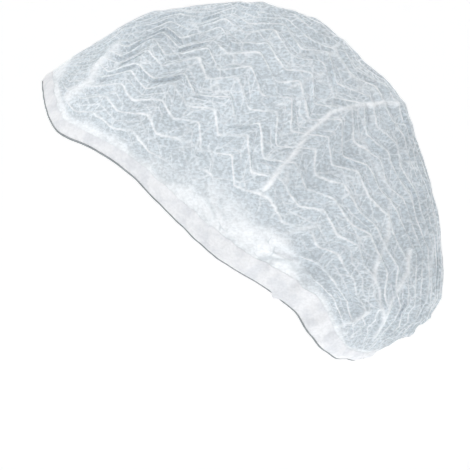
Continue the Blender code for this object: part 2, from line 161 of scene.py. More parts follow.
# Thin creases pressed into the cloth: points as above, height and half width in millimetres, and how
# much whiter the doubled cloth is there (below zero is a shaded crease)
CREASES = (
    ("long ridge", ((0.670, 1.189), (0.596, 1.013), (0.569, 0.907), (0.552, 0.747), (0.558, 0.627),
                    (0.563, 0.484), (0.564, 0.353)), 1.12, 1.50, 1.00),
    ("back ridge low", ((0.867, 0.452), (0.901, 0.366), (0.943, 0.295), (0.976, 0.230)), 0.90, 1.18, 0.85),
    ("back ridge outer", ((0.908, 0.623), (0.945, 0.521), (0.954, 0.341), (0.973, 0.246),
                          (0.983, 0.133)), 0.98, 1.24, 0.85),
    ("back ridge middle", ((0.797, 0.798), (0.816, 0.703), (0.848, 0.614), (0.867, 0.452)),
     0.90, 1.18, 0.75),
    ("slant to the back ridge", ((0.642, 0.707), (0.733, 0.714), (0.801, 0.761)), 0.52, 1.05, 0.45),
    ("upper slant", ((0.639, 0.922), (0.713, 0.849), (0.797, 0.798)), 0.60, 1.12, 0.50),
    ("crown corner", ((0.425, 1.044), (0.482, 1.172), (0.580, 1.135), (0.668, 1.178)), 0.60, 1.12, 0.55),
    ("second rung", ((0.449, 0.849), (0.491, 1.044)), 0.45, 0.93, 0.55),
    ("third rung", ((0.457, 0.749), (0.507, 0.922)), 0.45, 0.93, 0.55),
    ("nape turn", ((0.878, -0.018), (0.909, 0.052), (0.935, 0.214)), 1.05, 1.36, 0.85),
    ("ear band top", ((0.643, 0.136), (0.668, 0.274), (0.708, 0.398)), 0.75, 1.61, 0.60),
    ("front band", ((0.077, 0.038), (0.090, 0.190), (0.078, 0.290), (0.084, 0.430)), 0.95, 3.30, 0.75),
    ("front valley", ((0.040, 0.110), (0.050, 0.240), (0.046, 0.400)), -1.10, 2.90, -0.42),
    ("far back", ((0.877, 0.973), (0.947, 0.746), (1.026, 0.462)), 0.75, 1.36, 0.50),
    ("front crease", ((0.022, 0.060), (0.040, 0.207), (0.067, 0.349)), -0.90, 1.49, -0.60),
    ("ear crease", ((0.622, -0.038), (0.677, 0.094), (0.716, 0.143), (0.755, 0.140)), -1.50, 1.49, -0.70),
    ("temple crease", ((0.330, 0.059), (0.376, 0.042), (0.403, 0.089)), -0.90, 1.12, -0.50),
    ("first tuck", ((0.456, 0.143), (0.492, 0.105), (0.517, 0.068)), -0.90, 0.99, -0.60),
    ("second tuck", ((0.500, 0.166), (0.518, 0.120), (0.537, 0.100)), -0.90, 0.99, -0.60),
    ("third tuck", ((0.382, 0.259), (0.418, 0.273)), -0.75, 0.99, -0.60),
    ("nape crease", ((0.763, 0.118), (0.830, 0.070), (0.879, 0.006)), -0.90, 1.36, -0.35),
)

# Upper border of the bunched, whiter cloth above the hem: share of the way from forehead to nape,
# height as a share of the crown's reach
BUNCH = (
    (0.00, -0.20),
    (0.25, 0.02),
    (0.33, 0.05),
    (0.40, 0.13),
    (0.46, 0.18),
    (0.56, 0.19),
    (0.62, 0.20),
    (0.66, 0.26),
    (0.70, 0.22),
    (0.74, 0.14),
    (0.80, 0.07),
    (0.87, 0.02),
    (0.92, -0.02),
    (1.00, -0.10),
)


def unit(vectors: Array) -> Array:
    """Vectors of length one."""
    return vectors / np.linalg.norm(vectors, axis=-1, keepdims=True)


def smooth_step(value: Array | float) -> Array:
    """From 0 to 1 with level ends."""
    value = np.clip(value, 0.0, 1.0)
    return value * value * (3 - 2 * value)


def noise_at(points: Array, size: float, shift: float = 0.0) -> Array:
    """Smooth noise from -1 to 1 at each point.

    Args:
        points: Places in millimetres, one to a row.
        size: Size of the noise's features in millimetres.
        shift: Moves the pattern, so that two layers differ.

    Returns:
        One value for each point.
    """
    scaled = points / size + shift
    return np.array([noise.noise(Vector(row)) for row in scaled])


@dataclass(frozen=True)
class Curve:
    """A smooth curve through one column of a short table."""

    rows: tuple
    column: int = 1
    period: float = 0.0

    def read(self, at: Array | float) -> Array:
        """Reads the curve.

        Args:
            at: One place along the table's first column, or an array of them.

        Returns:
            The smooth value at each place.
        """
        keys = np.array([row[0] for row in self.rows], float)
        values = np.array([row[self.column] for row in self.rows], float)
        if self.period:
            keys = np.concatenate([keys[-2:] - self.period, keys, keys[:2] + self.period])
            values = np.concatenate([values[-2:], values, values[:2]])
            at = keys[2] + np.mod(np.asarray(at, float) - keys[2], self.period)
        at = np.clip(np.asarray(at, float), keys[0], keys[-1])
        slopes = np.gradient(values, keys)
        cell = np.clip(np.searchsorted(keys, at, side="right") - 1, 0, len(keys) - 2)
        width = keys[cell + 1] - keys[cell]
        part = (at - keys[cell]) / width
        low = values[cell] * (1 + 2 * part) * (1 - part) ** 2
        low = low + slopes[cell] * width * part * (1 - part) ** 2
        high = values[cell + 1] * part * part * (3 - 2 * part)
        high = high - slopes[cell + 1] * width * part * part * (1 - part)
        return low + high


@dataclass
class CapForm:
    """The cap's smooth shape in the opening's own frame, in millimetres.

    X runs from the opening's front to its nape, and Z out through the top of the crown.
    """

    opening_length: float = 247.6
    opening_fall: float = 40.53
    opening_half_width: float = 77.0
    forehead_fullness: float = 0.26
    fullness_power: int = 3
    crown_reach: float = 105.6
    crown_half_width: float = 101.0
    crown_back: float = 3.9
    crown_rise: float = 34.0
    hem_width: float = 18.0
    square_reach: float = 22.0
    square_share: float = 0.25
    side_lean: float = 0.12
    rows: int = 28
    lobe_rows: int = 7
    lobe_step: float = 7.1
    front_gather: float = 20.0
    back_gather: float = 40.0
    front_settle: float = 3.0
    back_settle: float = 6.0
    firm_rows: float = 3.0
    hug_reach: float = 0.36
    inner_step: float = 0.09
    inner_reach: float = 0.4
    small_turn: float = 0.01
    small_across: float = 0.01
    small_row: float = 0.2
    inside_swell: float = 0.6
    edge_places: int = 1441
    outline_places: int = 901
    across_places: int = 33
    outline: Curve = Curve(OUTLINE, period=360.0)
    edge: Curve = Curve(EDGE)
    hem_depth: Curve = Curve(HEM_DEPTH)

    def __post_init__(self) -> None:
        """Works out the lengths along the edge and the middle once."""
        self.centre = np.array([self.crown_back, 0.0, self.crown_rise])
        self.apex = np.array([0.0, 0.0, 1.0])
        self.turns = np.linspace(0.0, 2 * math.pi, self.edge_places)
        self.edge_run = self.lengths(self.along_edge(self.turns))
        self.edge_total = self.edge_run[-1]
        self.mid_angles, self.mid_run = self.mid_outline()
        self.mid_total = self.mid_run[-1]
        self.mid_places, self.side_places = self.row_places()
        self.half_lengths = self.measure_rows()

    @staticmethod
    def lengths(points: Array) -> Array:
        """Length from the first point to each point of a line."""
        steps = np.linalg.norm(np.diff(points, axis=0), axis=1)
        return np.concatenate([[0.0], np.cumsum(steps)])

    def reach(self, x: Array, z: Array) -> Array:
        """The outline's reach on the way from the crown's centre to a side view's place."""
        return self.crown_reach * self.outline.read(np.degrees(np.arctan2(z, x)))

    def place(self, direction: Array, swell: Array) -> Array:
        """The point in a direction of the crown's centre.

        Args:
            direction: Directions in the crown's own round frame.
            swell: How far out each point lies; 1 is the outline.

        Returns:
            The points.
        """
        reach = self.reach(direction[..., 0], direction[..., 2])
        scale = np.stack([reach, np.full_like(reach, self.crown_half_width), reach], axis=-1)
        return self.centre + direction * scale * np.asarray(swell)[..., None]

    def direction_of(self, point: Array) -> tuple[Array, Array]:
        """The way to a point from the crown's centre.

        Args:
            point: Places in the opening's frame.

        Returns:
            The directions and the swells.
        """
        x = point[..., 0] - self.crown_back
        z = point[..., 2] - self.crown_rise
        reach = self.reach(x, z)
        flat = np.stack([x / reach, point[..., 1] / self.crown_half_width, z / reach], axis=-1)
        swell = np.linalg.norm(flat, axis=-1)
        return flat / swell[..., None], swell

    def along_edge(self, turn: Array) -> Array:
        """Points of the lower edge.

        Args:
            turn: 0 is the forehead and pi the nape; +Y comes first.

        Returns:
            The points.
        """
        share = (1 - np.cos(turn)) / 2
        drop = self.edge.read(share) * self.opening_length
        full = 1 + self.forehead_fullness * (1 - share) ** self.fullness_power
        half = self.opening_half_width * np.sin(turn) * full
        return np.stack([(share - 0.5) * self.opening_length, half, -drop], axis=-1)

    def edge_frame(self, run: Array) -> tuple[Array, Array, Array, Array]:
        """The frame of the cloth at places along the edge.

        Args:
            run: Millimetres along the edge from the forehead, positive toward +Y.

        Returns:
            The edge's points, the way into the crown, the way out of the cloth, and the hem's depth.
        """
        run = np.mod(np.asarray(run, float), self.edge_total)
        turn = np.interp(run, self.edge_run, self.turns)
        point = self.along_edge(turn)
        tangent = unit(self.along_edge(turn + self.small_turn) - self.along_edge(turn - self.small_turn))
        direction, swell = self.direction_of(point)
        angle = np.arccos(np.clip(direction @ self.apex, -1.0, 1.0))
        part = self.inner_step
        inner = np.sin((1 - part) * angle)[..., None] * direction
        inner = inner + np.sin(part * angle)[..., None] * self.apex
        inner = inner / np.sin(angle)[..., None]
        inner_swell = swell + (1 - swell) * math.sin(math.pi / 2 * part / self.inner_reach)
        inward = self.place(inner, inner_swell) - point
        inward = unit(inward - (inward * tangent).sum(-1, keepdims=True) * tangent)
        outward = np.cross(inward, tangent)
        middle = self.place(self.apex[None], np.array([self.inside_swell]))[0]
        facing = np.sign(((point - middle) * outward).sum(-1, keepdims=True))
        share = (1 - np.cos(turn)) / 2
        return point, inward, unit(outward * facing), self.hem_depth.read(share) * self.hem_width

    def mouth(self, run: Array) -> tuple[Array, Array]:
        """Where the crown leaves the hem, as a direction and a swell."""
        point, inward, _, depth = self.edge_frame(run)
        return self.direction_of(point + inward * depth[..., None])

    def mid_outline(self) -> tuple[Array, Array]:
        """The outline from the front of the hem's mouth to its back.

        Returns:
            Angles in degrees, and the length up to each.
        """
        ends = []
        for run in (0.0, self.edge_total / 2):
            way = self.mouth(np.array([run]))[0][0]
            ends.append((math.degrees(math.atan2(way[2], way[0])) + 90.0) % 360.0 - 90.0)
        angles = np.linspace(ends[0], ends[1], self.outline_places)
        radians = np.radians(angles)
        direction = np.stack([np.cos(radians), 0 * radians, np.sin(radians)], axis=-1)
        return angles, self.lengths(self.place(direction, np.ones(len(angles))))

    def row_places(self) -> tuple[Array, Array]:
        """Where the rows of pleat corners lie.

        Returns:
            For each row, its place along the middle and its place along the side of the hem.
        """
        lobes = self.lobe_step * np.arange(self.lobe_rows, -1, -1)
        plain = np.linspace(0.0, self.mid_total - lobes[0], self.rows - self.lobe_rows + 1)
        middle = np.concatenate([plain[:-1], self.mid_total - lobes])
        share = np.linspace(0.0, 1.0, self.rows + 1)
        share = share + self.side_lean * np.sin(math.pi * share)
        reach = self.edge_total / 2 - self.back_gather - self.front_gather
        return middle, self.front_gather + share * reach

    def arc(self, side_direction: Array, angle: float, across: Array) -> Array:
        """Directions on the circle from one side of the hem over the top to the other.

        Args:
            side_direction: The direction of the row's end on the hem.
            angle: The angle of the row's middle on the outline, in degrees.
            across: Places from -1 to 1 along the row.

        Returns:
            One direction for each place.
        """
        radians = math.radians(angle)
        top = np.array([math.cos(radians), 0.0, math.sin(radians)])
        lean = unit(np.array([side_direction[2] - top[2], 0.0, top[0] - side_direction[0]]))
        offset = float(lean @ top)
        up = top - lean * offset
        radius = float(np.linalg.norm(up))
        up = up / radius
        end = side_direction - lean * offset
        turn = across * math.atan2(abs(end[1]), float(end @ up))
        ring = np.cos(turn)[:, None] * up + np.sin(turn)[:, None] * np.array([0.0, 1.0, 0.0])
        return lean * offset + radius * ring

    def hug(self, across: Array) -> Array:
        """How far the cloth is drawn in toward the hem: 1 at the hem, 0 well above it."""
        return 1 - np.sin(math.pi / 2 * np.clip((1 - np.abs(across)) / self.hug_reach, 0.0, 1.0))

    def end_run(self, row: int, across: Array) -> Array:
        """Place along the edge of the pleats of an end row.

        Args:
            row: The first or the last row.
            across: Places from -1 to 1 along it.

        Returns:
            Millimetres along the edge from the forehead.
        """
        if row == 0:
            return self.front_gather * across
        return self.edge_total / 2 - self.back_gather * across

    def end_correction(self, row: int, across: Array) -> tuple[Array, Array]:
        """What turns the circle of an end row into the hem's own mouth there.

        Args:
            row: The first or the last row.
            across: Places from -1 to 1 along it.

        Returns:
            What to add to the circle's directions and to its swells.
        """
        target, target_swell = self.mouth(self.end_run(row, across))
        side_direction, side_swell = self.mouth(np.array([self.side_places[row]]))
        angle = float(np.interp(self.mid_places[row], self.mid_run, self.mid_angles))
        circle = self.arc(side_direction[0], angle, across)
        plain = 1 - (1 - side_swell[0]) * self.hug(across)
        return target - circle, target_swell - plain

    def arched_row(self, row: float, across: Array) -> Array:
        """Points of a row before it is squared up to the hem.

        Args:
            row: The row's number; it may lie between two whole ones.
            across: Places from -1 to 1 along it.

        Returns:
            The points.
        """
        rows = np.arange(self.rows + 1)
        middle = float(np.interp(row, rows, self.mid_places))
        side = float(np.interp(row, rows, self.side_places))
        side_direction, side_swell = self.mouth(np.array([side]))
        angle = float(np.interp(middle, self.mid_run, self.mid_angles))
        direction = self.arc(side_direction[0], angle, across)
        swell = 1 - (1 - side_swell[0]) * self.hug(across)
        ends = (
            (0, max(0.0, 1 - row / self.front_settle) ** 2),
            (self.rows, max(0.0, 1 - (self.rows - row) / self.back_settle) ** 2),
        )
        for end, weight in ends:
            if weight > 0:
                turn, grow = self.end_correction(end, across)
                direction = direction + weight * turn
                swell = swell + weight * grow
        return self.place(unit(direction), swell)

    def measure_rows(self) -> Array:
        """Half the length of each whole row, in millimetres."""
        across = np.linspace(0.0, 1.0, self.across_places)
        rows = [self.arched_row(row, across) for row in range(self.rows + 1)]
        return np.array([np.linalg.norm(np.diff(row, axis=0), axis=1).sum() for row in rows])

    def smooth_row(self, row: float, across: Array) -> Array:
        """Points of the unpleated crown along a row.

        Args:
            row: The row's number; it may lie between two whole ones.
            across: Places from -1 to 1 along it.

        Returns:
            The points, square to the hem at its two ends.
        """
        points = self.arched_row(row, across)
        if not 0 < row < self.rows:
            return points
        rows = np.arange(self.rows + 1)
        side = float(np.interp(row, rows, self.side_places))
        half = float(np.interp(row, rows, self.half_lengths))
        firm = min(1.0, row / self.firm_rows, (self.rows - row) / self.firm_rows)
        inside = (1 - np.abs(across)) * half
        for hand in (-1.0, 1.0):
            point, inward, _, depth = self.edge_frame(np.array([hand * side]))
            start = point[0] + inward[0] * depth[0]
            pull = 1 - smooth_step(inside / min(self.square_reach, self.square_share * half))
            pull = np.where(across * hand > 0, firm * pull, 0.0)
            square = start + inside[:, None] * inward[0]
            points = points + pull[:, None] * (square - points)
        return points

    def normals_of(self, row: float, across: Array) -> Array:
        """Outward directions of the unpleated crown along a row.

        Args:
            row: The row's number.
            across: Places from -1 to 1 along it.

        Returns:
            The directions.
        """
        before = self.smooth_row(max(0.0, row - self.small_row), across)
        after = self.smooth_row(min(float(self.rows), row + self.small_row), across)
        left = self.smooth_row(row, np.clip(across - self.small_across, -1, 1))
        right = self.smooth_row(row, np.clip(across + self.small_across, -1, 1))
        normal = unit(np.cross(right - left, after - before))
        here = self.smooth_row(row, across)
        return normal * np.sign(((here - self.centre) * normal).sum(-1, keepdims=True))

    def line_distance(self, points: Array, corners: tuple) -> Array:
        """Distance from points to a line of corners, both seen from the side.

        Args:
            points: Places in the opening's frame.
            corners: Shares of the opening's length and of the crown's reach.

        Returns:
            One distance in millimetres for each point.
        """
        flat = points[:, [0, 2]]
        line = [
            np.array([(u - 0.5) * self.opening_length, v * self.crown_reach]) for u, v in corners
        ]
        nearest = np.full(len(points), np.inf)
        for start, end in zip(line[:-1], line[1:]):
            way = end - start
            share = np.clip(((flat - start) @ way) / (way @ way), 0.0, 1.0)
            foot = start + share[:, None] * way
            nearest = np.minimum(nearest, np.linalg.norm(flat - foot, axis=1))
        return nearest

    def tipped(self, points: Array) -> Array:
        """Turns the opening's frame into the row's own frame.

        Args:
            points: Places in millimetres of the opening's frame.

        Returns:
            The places in metres of the row's frame.
        """
        fall = math.radians(self.opening_fall)
        along, up = points[:, 0], points[:, 2]
        forward = along * math.cos(fall) + up * math.sin(fall)
        raised = up * math.cos(fall) - along * math.sin(fall)
        return np.stack([forward, points[:, 1], raised], axis=-1) / 1000.0


class Slot(Enum):
    """The record's material slots."""

    CROWN = "crown_cloth"
    HEM = "hem_cloth"
    ELASTIC = "elastic"


class Shader:
    """Adds and joins the nodes of one material."""

    def __init__(self, name: str) -> None:
        """Starts an empty material."""
        self.material = bpy.data.materials.new(name)
        self.material.use_nodes = True
        self.tree = self.material.node_tree
        self.tree.nodes.clear()
        self.output = self.tree.nodes.new("ShaderNodeOutputMaterial")

    def node(self, kind: str, inputs: dict | None = None, **settings: object) -> bpy.types.Node:
        """Adds one node.

        Args:
            kind: Blender's name of the node's type.
            inputs: Values or sockets for its inputs, by name or number.
            **settings: The node's own options.

        Returns:
            The new node.
        """
        made = self.tree.nodes.new(kind)
        for key, value in settings.items():
            setattr(made, key, value)
        for key, value in (inputs or {}).items():
            if isinstance(value, bpy.types.NodeSocket):
                self.tree.links.new(value, made.inputs[key])
            else:
                made.inputs[key].default_value = value
        return made

    def math(self, operation: str, *values: object) -> Socket:
        """A Math node's result, from sockets or numbers."""
        return self.node("ShaderNodeMath", dict(enumerate(values)), operation=operation).outputs[0]

    def place(self) -> Socket:
        """Places on the object, in metres of the row's frame."""
        return self.node("ShaderNodeTexCoord").outputs["Object"]

    def axis(self, vector: Socket, number: int) -> Socket:
        """One axis of a vector."""
        return self.node("ShaderNodeSeparateXYZ", {0: vector}).outputs[number]

    def stored(self, name: str) -> Socket:
        """A number stored at each corner of the mesh."""
        return self.node("ShaderNodeAttribute", attribute_name=name).outputs["Fac"]

    def between(self, value: Socket, low: float, high: float, start: float = 0.0,
                end: float = 1.0) -> Socket:
        """A value taken smoothly from one range to another.

        Args:
            value: The socket to read.
            low: The value that gives the start.
            high: The value that gives the end.
            start: What low becomes.
            end: What high becomes.

        Returns:
            The socket of the new value.
        """
        inputs = {"Value": value, "From Min": low, "From Max": high, "To Min": start, "To Max": end}
        return self.node("ShaderNodeMapRange", inputs, interpolation_type="SMOOTHSTEP").outputs[0]

    def blend(self, factor: Socket, first: object, second: object) -> Socket:
        """A mix of two colours."""
        made = self.node("ShaderNodeMix", {0: factor, 6: first, 7: second}, data_type="RGBA")
        return made.outputs[2]

    def noise(self, where: Socket, scale: float, detail: float = 2.0) -> Socket:
        """Noise from 0 to 1, with features of about one over scale metres."""
        inputs = {"Vector": where, "Scale": scale, "Detail": detail}
        return self.node("ShaderNodeTexNoise", inputs).outputs["Fac"]

    def tint(self, colour: Socket, grey: Socket) -> Socket:
        """A colour times a grey value."""
        speckle = self.node("ShaderNodeCombineColor", {0: grey, 1: grey, 2: grey}).outputs[0]
        inputs = {0: 1.0, 6: colour, 7: speckle}
        return self.node("ShaderNodeMix", inputs, data_type="RGBA", blend_type="MULTIPLY").outputs[2]

    def bump(self, height: Socket, strength: float, distance: float) -> Socket:
        """Directions of a surface with small differences of height."""
        inputs = {"Height": height, "Strength": strength, "Distance": distance}
        return self.node("ShaderNodeBump", inputs).outputs[0]

    def nonwoven(self, colour: Socket, normal: Socket, roughness: float, lit: object) -> Socket:
        """Matt cloth with a soft sheen, through which part of the light passes.

        Args:
            colour: The cloth's colour.
            normal: The cloth's bumped directions.
            roughness: How matt it is.
            lit: The share of light that passes through.

        Returns:
            The socket of the surface.
        """
        inputs = {
            "Base Color": colour,
            "Roughness": roughness,
            "Specular IOR Level": 0.25,
            "Sheen Weight": 0.60,
            "Sheen Roughness": 0.35,
            "Normal": normal,
        }
        cloth = self.node("ShaderNodeBsdfPrincipled", inputs).outputs[0]
        glow = self.node("ShaderNodeBsdfTranslucent", {"Color": colour, "Normal": normal}).outputs[0]
        return self.node("ShaderNodeMixShader", {0: lit, 1: cloth, 2: glow}).outputs[0]

    def finish(self, surface: Socket) -> bpy.types.Material:
        """Joins the surface to the output and gives back the material."""
        self.tree.links.new(surface, self.output.inputs["Surface"])
        return self.material


@dataclass(frozen=True)
class Ramp:
    """A smooth change from a start to an end, while what is read goes from low to high."""

    low: float
    high: float
    start: float
    end: float

    def read(self, made: Shader, value: Socket) -> Socket:
        """The ramp's value where the socket has this value."""
        return made.between(value, self.low, self.high, self.start, self.end)


@dataclass(frozen=True)
class Waver:
    """Noise about zero that bends a line from side to side: features in a metre, and how far."""

    scale: float
    reach: float

    def read(self, made: Shader, where: Socket) -> Socket:
        """The waver's value at each place."""
        around = made.math("SUBTRACT", made.noise(where, self.scale), 0.5)
        return made.math("MULTIPLY", around, self.reach)


@dataclass(frozen=True)
class Borders:
    """Lines along the borders of irregular cells: cells in a metre, half width and strength (painted shade
    in tuck lines).
    """

    scale: float
    width: float
    white: float

    def read(self, made: Shader, where: Socket) -> Socket:
        """The lines' value at each place."""
        inputs = {"Vector": where, "Scale": self.scale}
        cells = made.node("ShaderNodeTexVoronoi", inputs, feature="DISTANCE_TO_EDGE")
        return made.between(cells.outputs["Distance"], 0.0, self.width, self.white, 0.0)


@dataclass(frozen=True)
class Patches:
    """Soft patches of noise: features in a metre, where they start and end, and what they give there."""

    scale: float
    low: float
    high: float
    least: float = 0.0
    most: float = 1.0
    detail: float = 2.0

    def read(self, made: Shader, where: Socket) -> Socket:
        """The patches' value at each place."""
        found = made.noise(where, self.scale, self.detail)
        return made.between(found, self.low, self.high, self.least, self.most)


@dataclass(frozen=True)
class Stripes:
    """Fold lines across a running number: half their step, their half width and their whiteness."""

    step: float
    width: float
    white: float

    def read(self, made: Shader, number: Socket) -> Socket:
        """The lines' value where the running number has this value."""
        return made.between(made.math("PINGPONG", number, self.step), 0.0, self.width, self.white, 0.0)


@dataclass(frozen=True)
class PleatedFinish:
    """Thin nonwoven cloth, whiter where its pleats and creases double it."""

    columns: int = 64
    rows: int = 28
    margin: float = 0.02
    # The panels' colour is the thin cloth's own pale tone with painted shade in it: a grey-blue for the
    # shade that shows through one layer.
    shaded_panel: tuple = (0.595, 0.648, 0.688, 1.0)
    crease: tuple = (0.93, 0.945, 0.96, 1.0)
    # shade: the colour of the painted shade in sunk creases and in tucks.
    shade: tuple = (0.50, 0.55, 0.58, 1.0)
    lets_light: float = 0.34
    sees_through: float = 0.13
    back_end: Ramp = Ramp(0.070, 0.105, 0.0, 0.80)
    front_end: Ramp = Ramp(-0.055, -0.015, 0.85, 0.0)
    column_waver: Waver = Waver(95.0, 0.55)
    column_shake: Waver = Waver(270.0, 0.22)
    row_waver: Waver = Waver(130.0, 0.12)
    slant_waver: Waver = Waver(75.0, 0.8)
    ridge: Stripes = Stripes(1.0, 0.25, 1.0)
    valley: Stripes = Stripes(0.5, 0.16, 0.62)
    spine: Stripes = Stripes(0.5, 0.045, 0.55)
    slant: Stripes = Stripes(0.5, 0.13, 0.46)
    slant_rows: float = 1.62
    slant_columns: float = 0.55
    pressed: Patches = Patches(58.0, 0.34, 0.54, 0.34, 1.0, 3.0)
    worn: Patches = Patches(150.0, 0.34, 0.56, 0.62)
    flattened: Patches = Patches(43.0, 0.40, 0.58, 0.10, 1.0, 3.0)
    slant_patches: tuple = (Patches(51.0, 0.44, 0.58), Patches(67.0, 0.44, 0.58))
    lines_white: float = 0.84
    wrinkle_lines: Borders = Borders(62.0, 0.055, 0.50)
    # Tuck lines: painted shade in the tucks of the bunched cloth.
    shaded_tuck_lines: Borders = Borders(92.0, 0.06, 0.62)
    bend_scale: float = 60.0
    bend_reach: float = 0.012
    wrinkles: Patches = Patches(38.0, 0.42, 0.60)
    bunch_white: Patches = Patches(85.0, 0.30, 0.62, 0.58, 0.86, 3.0)
    # Patches where the painted shade of the tuck lines shows.
    shaded_tucks: Patches = Patches(64.0, 0.54, 0.66)
    dark_share: float = 0.8
    fibre_scale: float = 560.0
    streak_scale: tuple = (420.0, 420.0, 900.0)
    web: Ramp = Ramp(0.40, 0.60, 0.82, 1.06)
    pores: Ramp = Ramp(0.40, 0.62, 1.5, 0.5)
    thread: Ramp = Ramp(0.005, 0.055, 1.0, 0.0)
    thread_scales: tuple = (390.0, 610.0)
    thread_white: float = 0.07
    tone: Patches = Patches(27.0, 0.36, 0.64, -0.045, 0.045)
    calm_share: float = 0.65
    doubled_share: float = 0.55
    roughness: float = 0.82
    web_height: float = 0.30
    fold_height: float = 0.5
    bump_strength: float = 0.55
    bump_depth: float = 0.0005

    def numbers(self, made: Shader, where: Socket) -> list[Socket]:
        """The cloth's own running numbers of its columns and rows, slightly wavering.

        Args:
            made: The material.
            where: Places on the cloth.

        Returns:
            The sockets of the column's and the row's number.
        """
        uv = made.node("ShaderNodeUVMap", uv_map="pleats").outputs["UV"]
        found = []
        for axis, count in enumerate((self.columns, self.rows)):
            share = made.math("SUBTRACT", made.axis(uv, axis), self.margin)
            found.append(made.math("MULTIPLY", share, count / (1 - 2 * self.margin)))
        column = made.math("ADD", found[0], self.column_waver.read(made, where))
        column = made.math("ADD", column, self.column_shake.read(made, where))
        return [column, made.math("ADD", found[1], self.row_waver.read(made, where))]

    def pleat_lines(self, made: Shader, where: Socket) -> Socket:
        """White fold lines along the pleats.

        Args:
            made: The material.
            where: Places on the cloth.

        Returns:
            The socket of the lines' whiteness.
        """
        column, row = self.numbers(made, where)
        along = made.axis(where, 0)
        ends = [end.read(made, along) for end in (self.back_end, self.front_end)]
        pressed = made.math("MAXIMUM", self.pressed.read(made, where), made.math("MAXIMUM", *ends))
        pressed = made.math("MULTIPLY", pressed, self.worn.read(made, where))
        flattened = self.flattened.read(made, where)
        lines = made.math(
            "MAXIMUM",
            made.math("MULTIPLY", self.valley.read(made, column), flattened),
            made.math("MULTIPLY", self.spine.read(made, row), flattened),
        )
        ridge = made.math("MULTIPLY", self.ridge.read(made, column), pressed)
        lines = made.math("MAXIMUM", ridge, lines)
        for way, patches in zip((1.0, -1.0), self.slant_patches):
            number = made.math("MULTIPLY", row, self.slant_rows * way)
            number = made.math("ADD", made.math("MULTIPLY", column, self.slant_columns), number)
            number = made.math("ADD", number, self.slant_waver.read(made, where))
            thin = made.math("MULTIPLY", self.slant.read(made, number), patches.read(made, where))
            lines = made.math("MAXIMUM", lines, thin)
        return lines

    def threads(self, made: Shader, where: Socket) -> Socket:
        """Thin curly threads, where smooth noise passes its middle value.

        Args:
            made: The material.
            where: Places on the cloth.

        Returns:
            The socket of the threads' whiteness.
        """
        found = []
        for scale in self.thread_scales:
            away = made.math("ABSOLUTE", made.math("SUBTRACT", made.noise(where, scale, 1.0), 0.5))
            found.append(self.thread.read(made, away))
        return made.math("MAXIMUM", *found)

    def mottle(self, made: Shader, where: Socket) -> Socket:
        """The uneven web of fibres, from 0 to 1."""
        streak = made.node("ShaderNodeMapping", {"Vector": where, "Scale": self.streak_scale}).outputs[0]
        both = made.math("ADD", made.noise(where, self.fibre_scale, 3.0), made.noise(streak, 1.0))
        return made.math("MULTIPLY", both, 0.5)

    def folds(self, made: Shader, where: Socket) -> tuple[Socket, Socket]:
        """Where folds double the cloth, and where painted shade darkens their creases.

        Args:
            made: The material.
            where: Places on the cloth.

        Returns:
            The sockets of how much whiter the cloth is and how much painted shade darkens it.
        """
        bunch = made.stored("bunch")
        lines = made.math("MULTIPLY", self.pleat_lines(made, where), made.math("SUBTRACT", 1.0, bunch))
        inputs = {"Vector": where, "Scale": self.bend_scale, "Detail": 2.0}
        bend = made.node("ShaderNodeTexNoise", inputs).outputs["Color"]
        bent = made.node("ShaderNodeMix", {0: self.bend_reach, 4: where, 5: bend}, data_type="VECTOR")
        bent = bent.outputs[1]
        wrinkle = self.wrinkle_lines.read(made, bent)
        wrinkle = made.math("MULTIPLY", wrinkle, self.wrinkles.read(made, where))
        white = made.math("MAXIMUM", made.math("MULTIPLY", lines, self.lines_white), wrinkle)
        white = made.math("MAXIMUM", white, made.stored("whiter"))
        cloud = made.math("MULTIPLY", bunch, self.bunch_white.read(made, where))
        white = made.math("MAXIMUM", white, cloud)
        # Painted shade: dark lines in the tucks of the bunched cloth, joined to the shaded creases.
        shaded_tucks = made.math("MULTIPLY", self.shaded_tuck_lines.read(made, bent), self.shaded_tucks.read(made, where))
        dark = made.math("MAXIMUM", made.stored("darker"), made.math("MULTIPLY", shaded_tucks, bunch))
        return white, dark

    def make(self) -> bpy.types.Material:
        """Builds the material.

        Returns:
            The finished material.
        """
        made = Shader("pleated_nonwoven")
        where = made.place()
        white, dark = self.folds(made, where)
        mottle = self.mottle(made, where)
        # The panels' grey-blue is painted shade; doubled cloth at the folds turns them whiter.
        colour = made.blend(white, self.shaded_panel, self.crease)
        # Painted shade: shaded creases and tucks darken toward the shade colour.
        colour = made.blend(made.math("MULTIPLY", dark, self.dark_share), colour, self.shade)
        grey = made.math("ADD", self.web.read(made, mottle), self.tone.read(made, where))
        threads = made.math("MULTIPLY", self.threads(made, where), self.thread_white)
        grey = made.math("ADD", grey, threads)
        calm = made.math("MULTIPLY", white, self.calm_share)
        grey = made.math("MULTIPLY", grey, made.math("SUBTRACT", 1.0, calm))
        colour = made.tint(colour, made.math("ADD", grey, calm))
        height = made.math("MULTIPLY", mottle, self.web_height)
        height = made.math("ADD", height, made.math("MULTIPLY", white, self.fold_height))
        normal = made.bump(height, self.bump_strength, self.bump_depth)
        thin = made.math("SUBTRACT", 1.0, made.math("MULTIPLY", white, self.doubled_share))
        lit = made.math("MULTIPLY", thin, self.lets_light)
        body = made.nonwoven(colour, normal, self.roughness, lit)
        clear = made.math("MULTIPLY", thin, self.sees_through)
        clear = made.math("MULTIPLY", clear, self.pores.read(made, mottle))
        clear = made.math("MULTIPLY", clear, made.math("SUBTRACT", 1.0, white))
        gap = made.node("ShaderNodeBsdfTransparent").outputs[0]
        return made.finish(made.node("ShaderNodeMixShader", {0: clear, 1: body, 2: gap}).outputs[0])


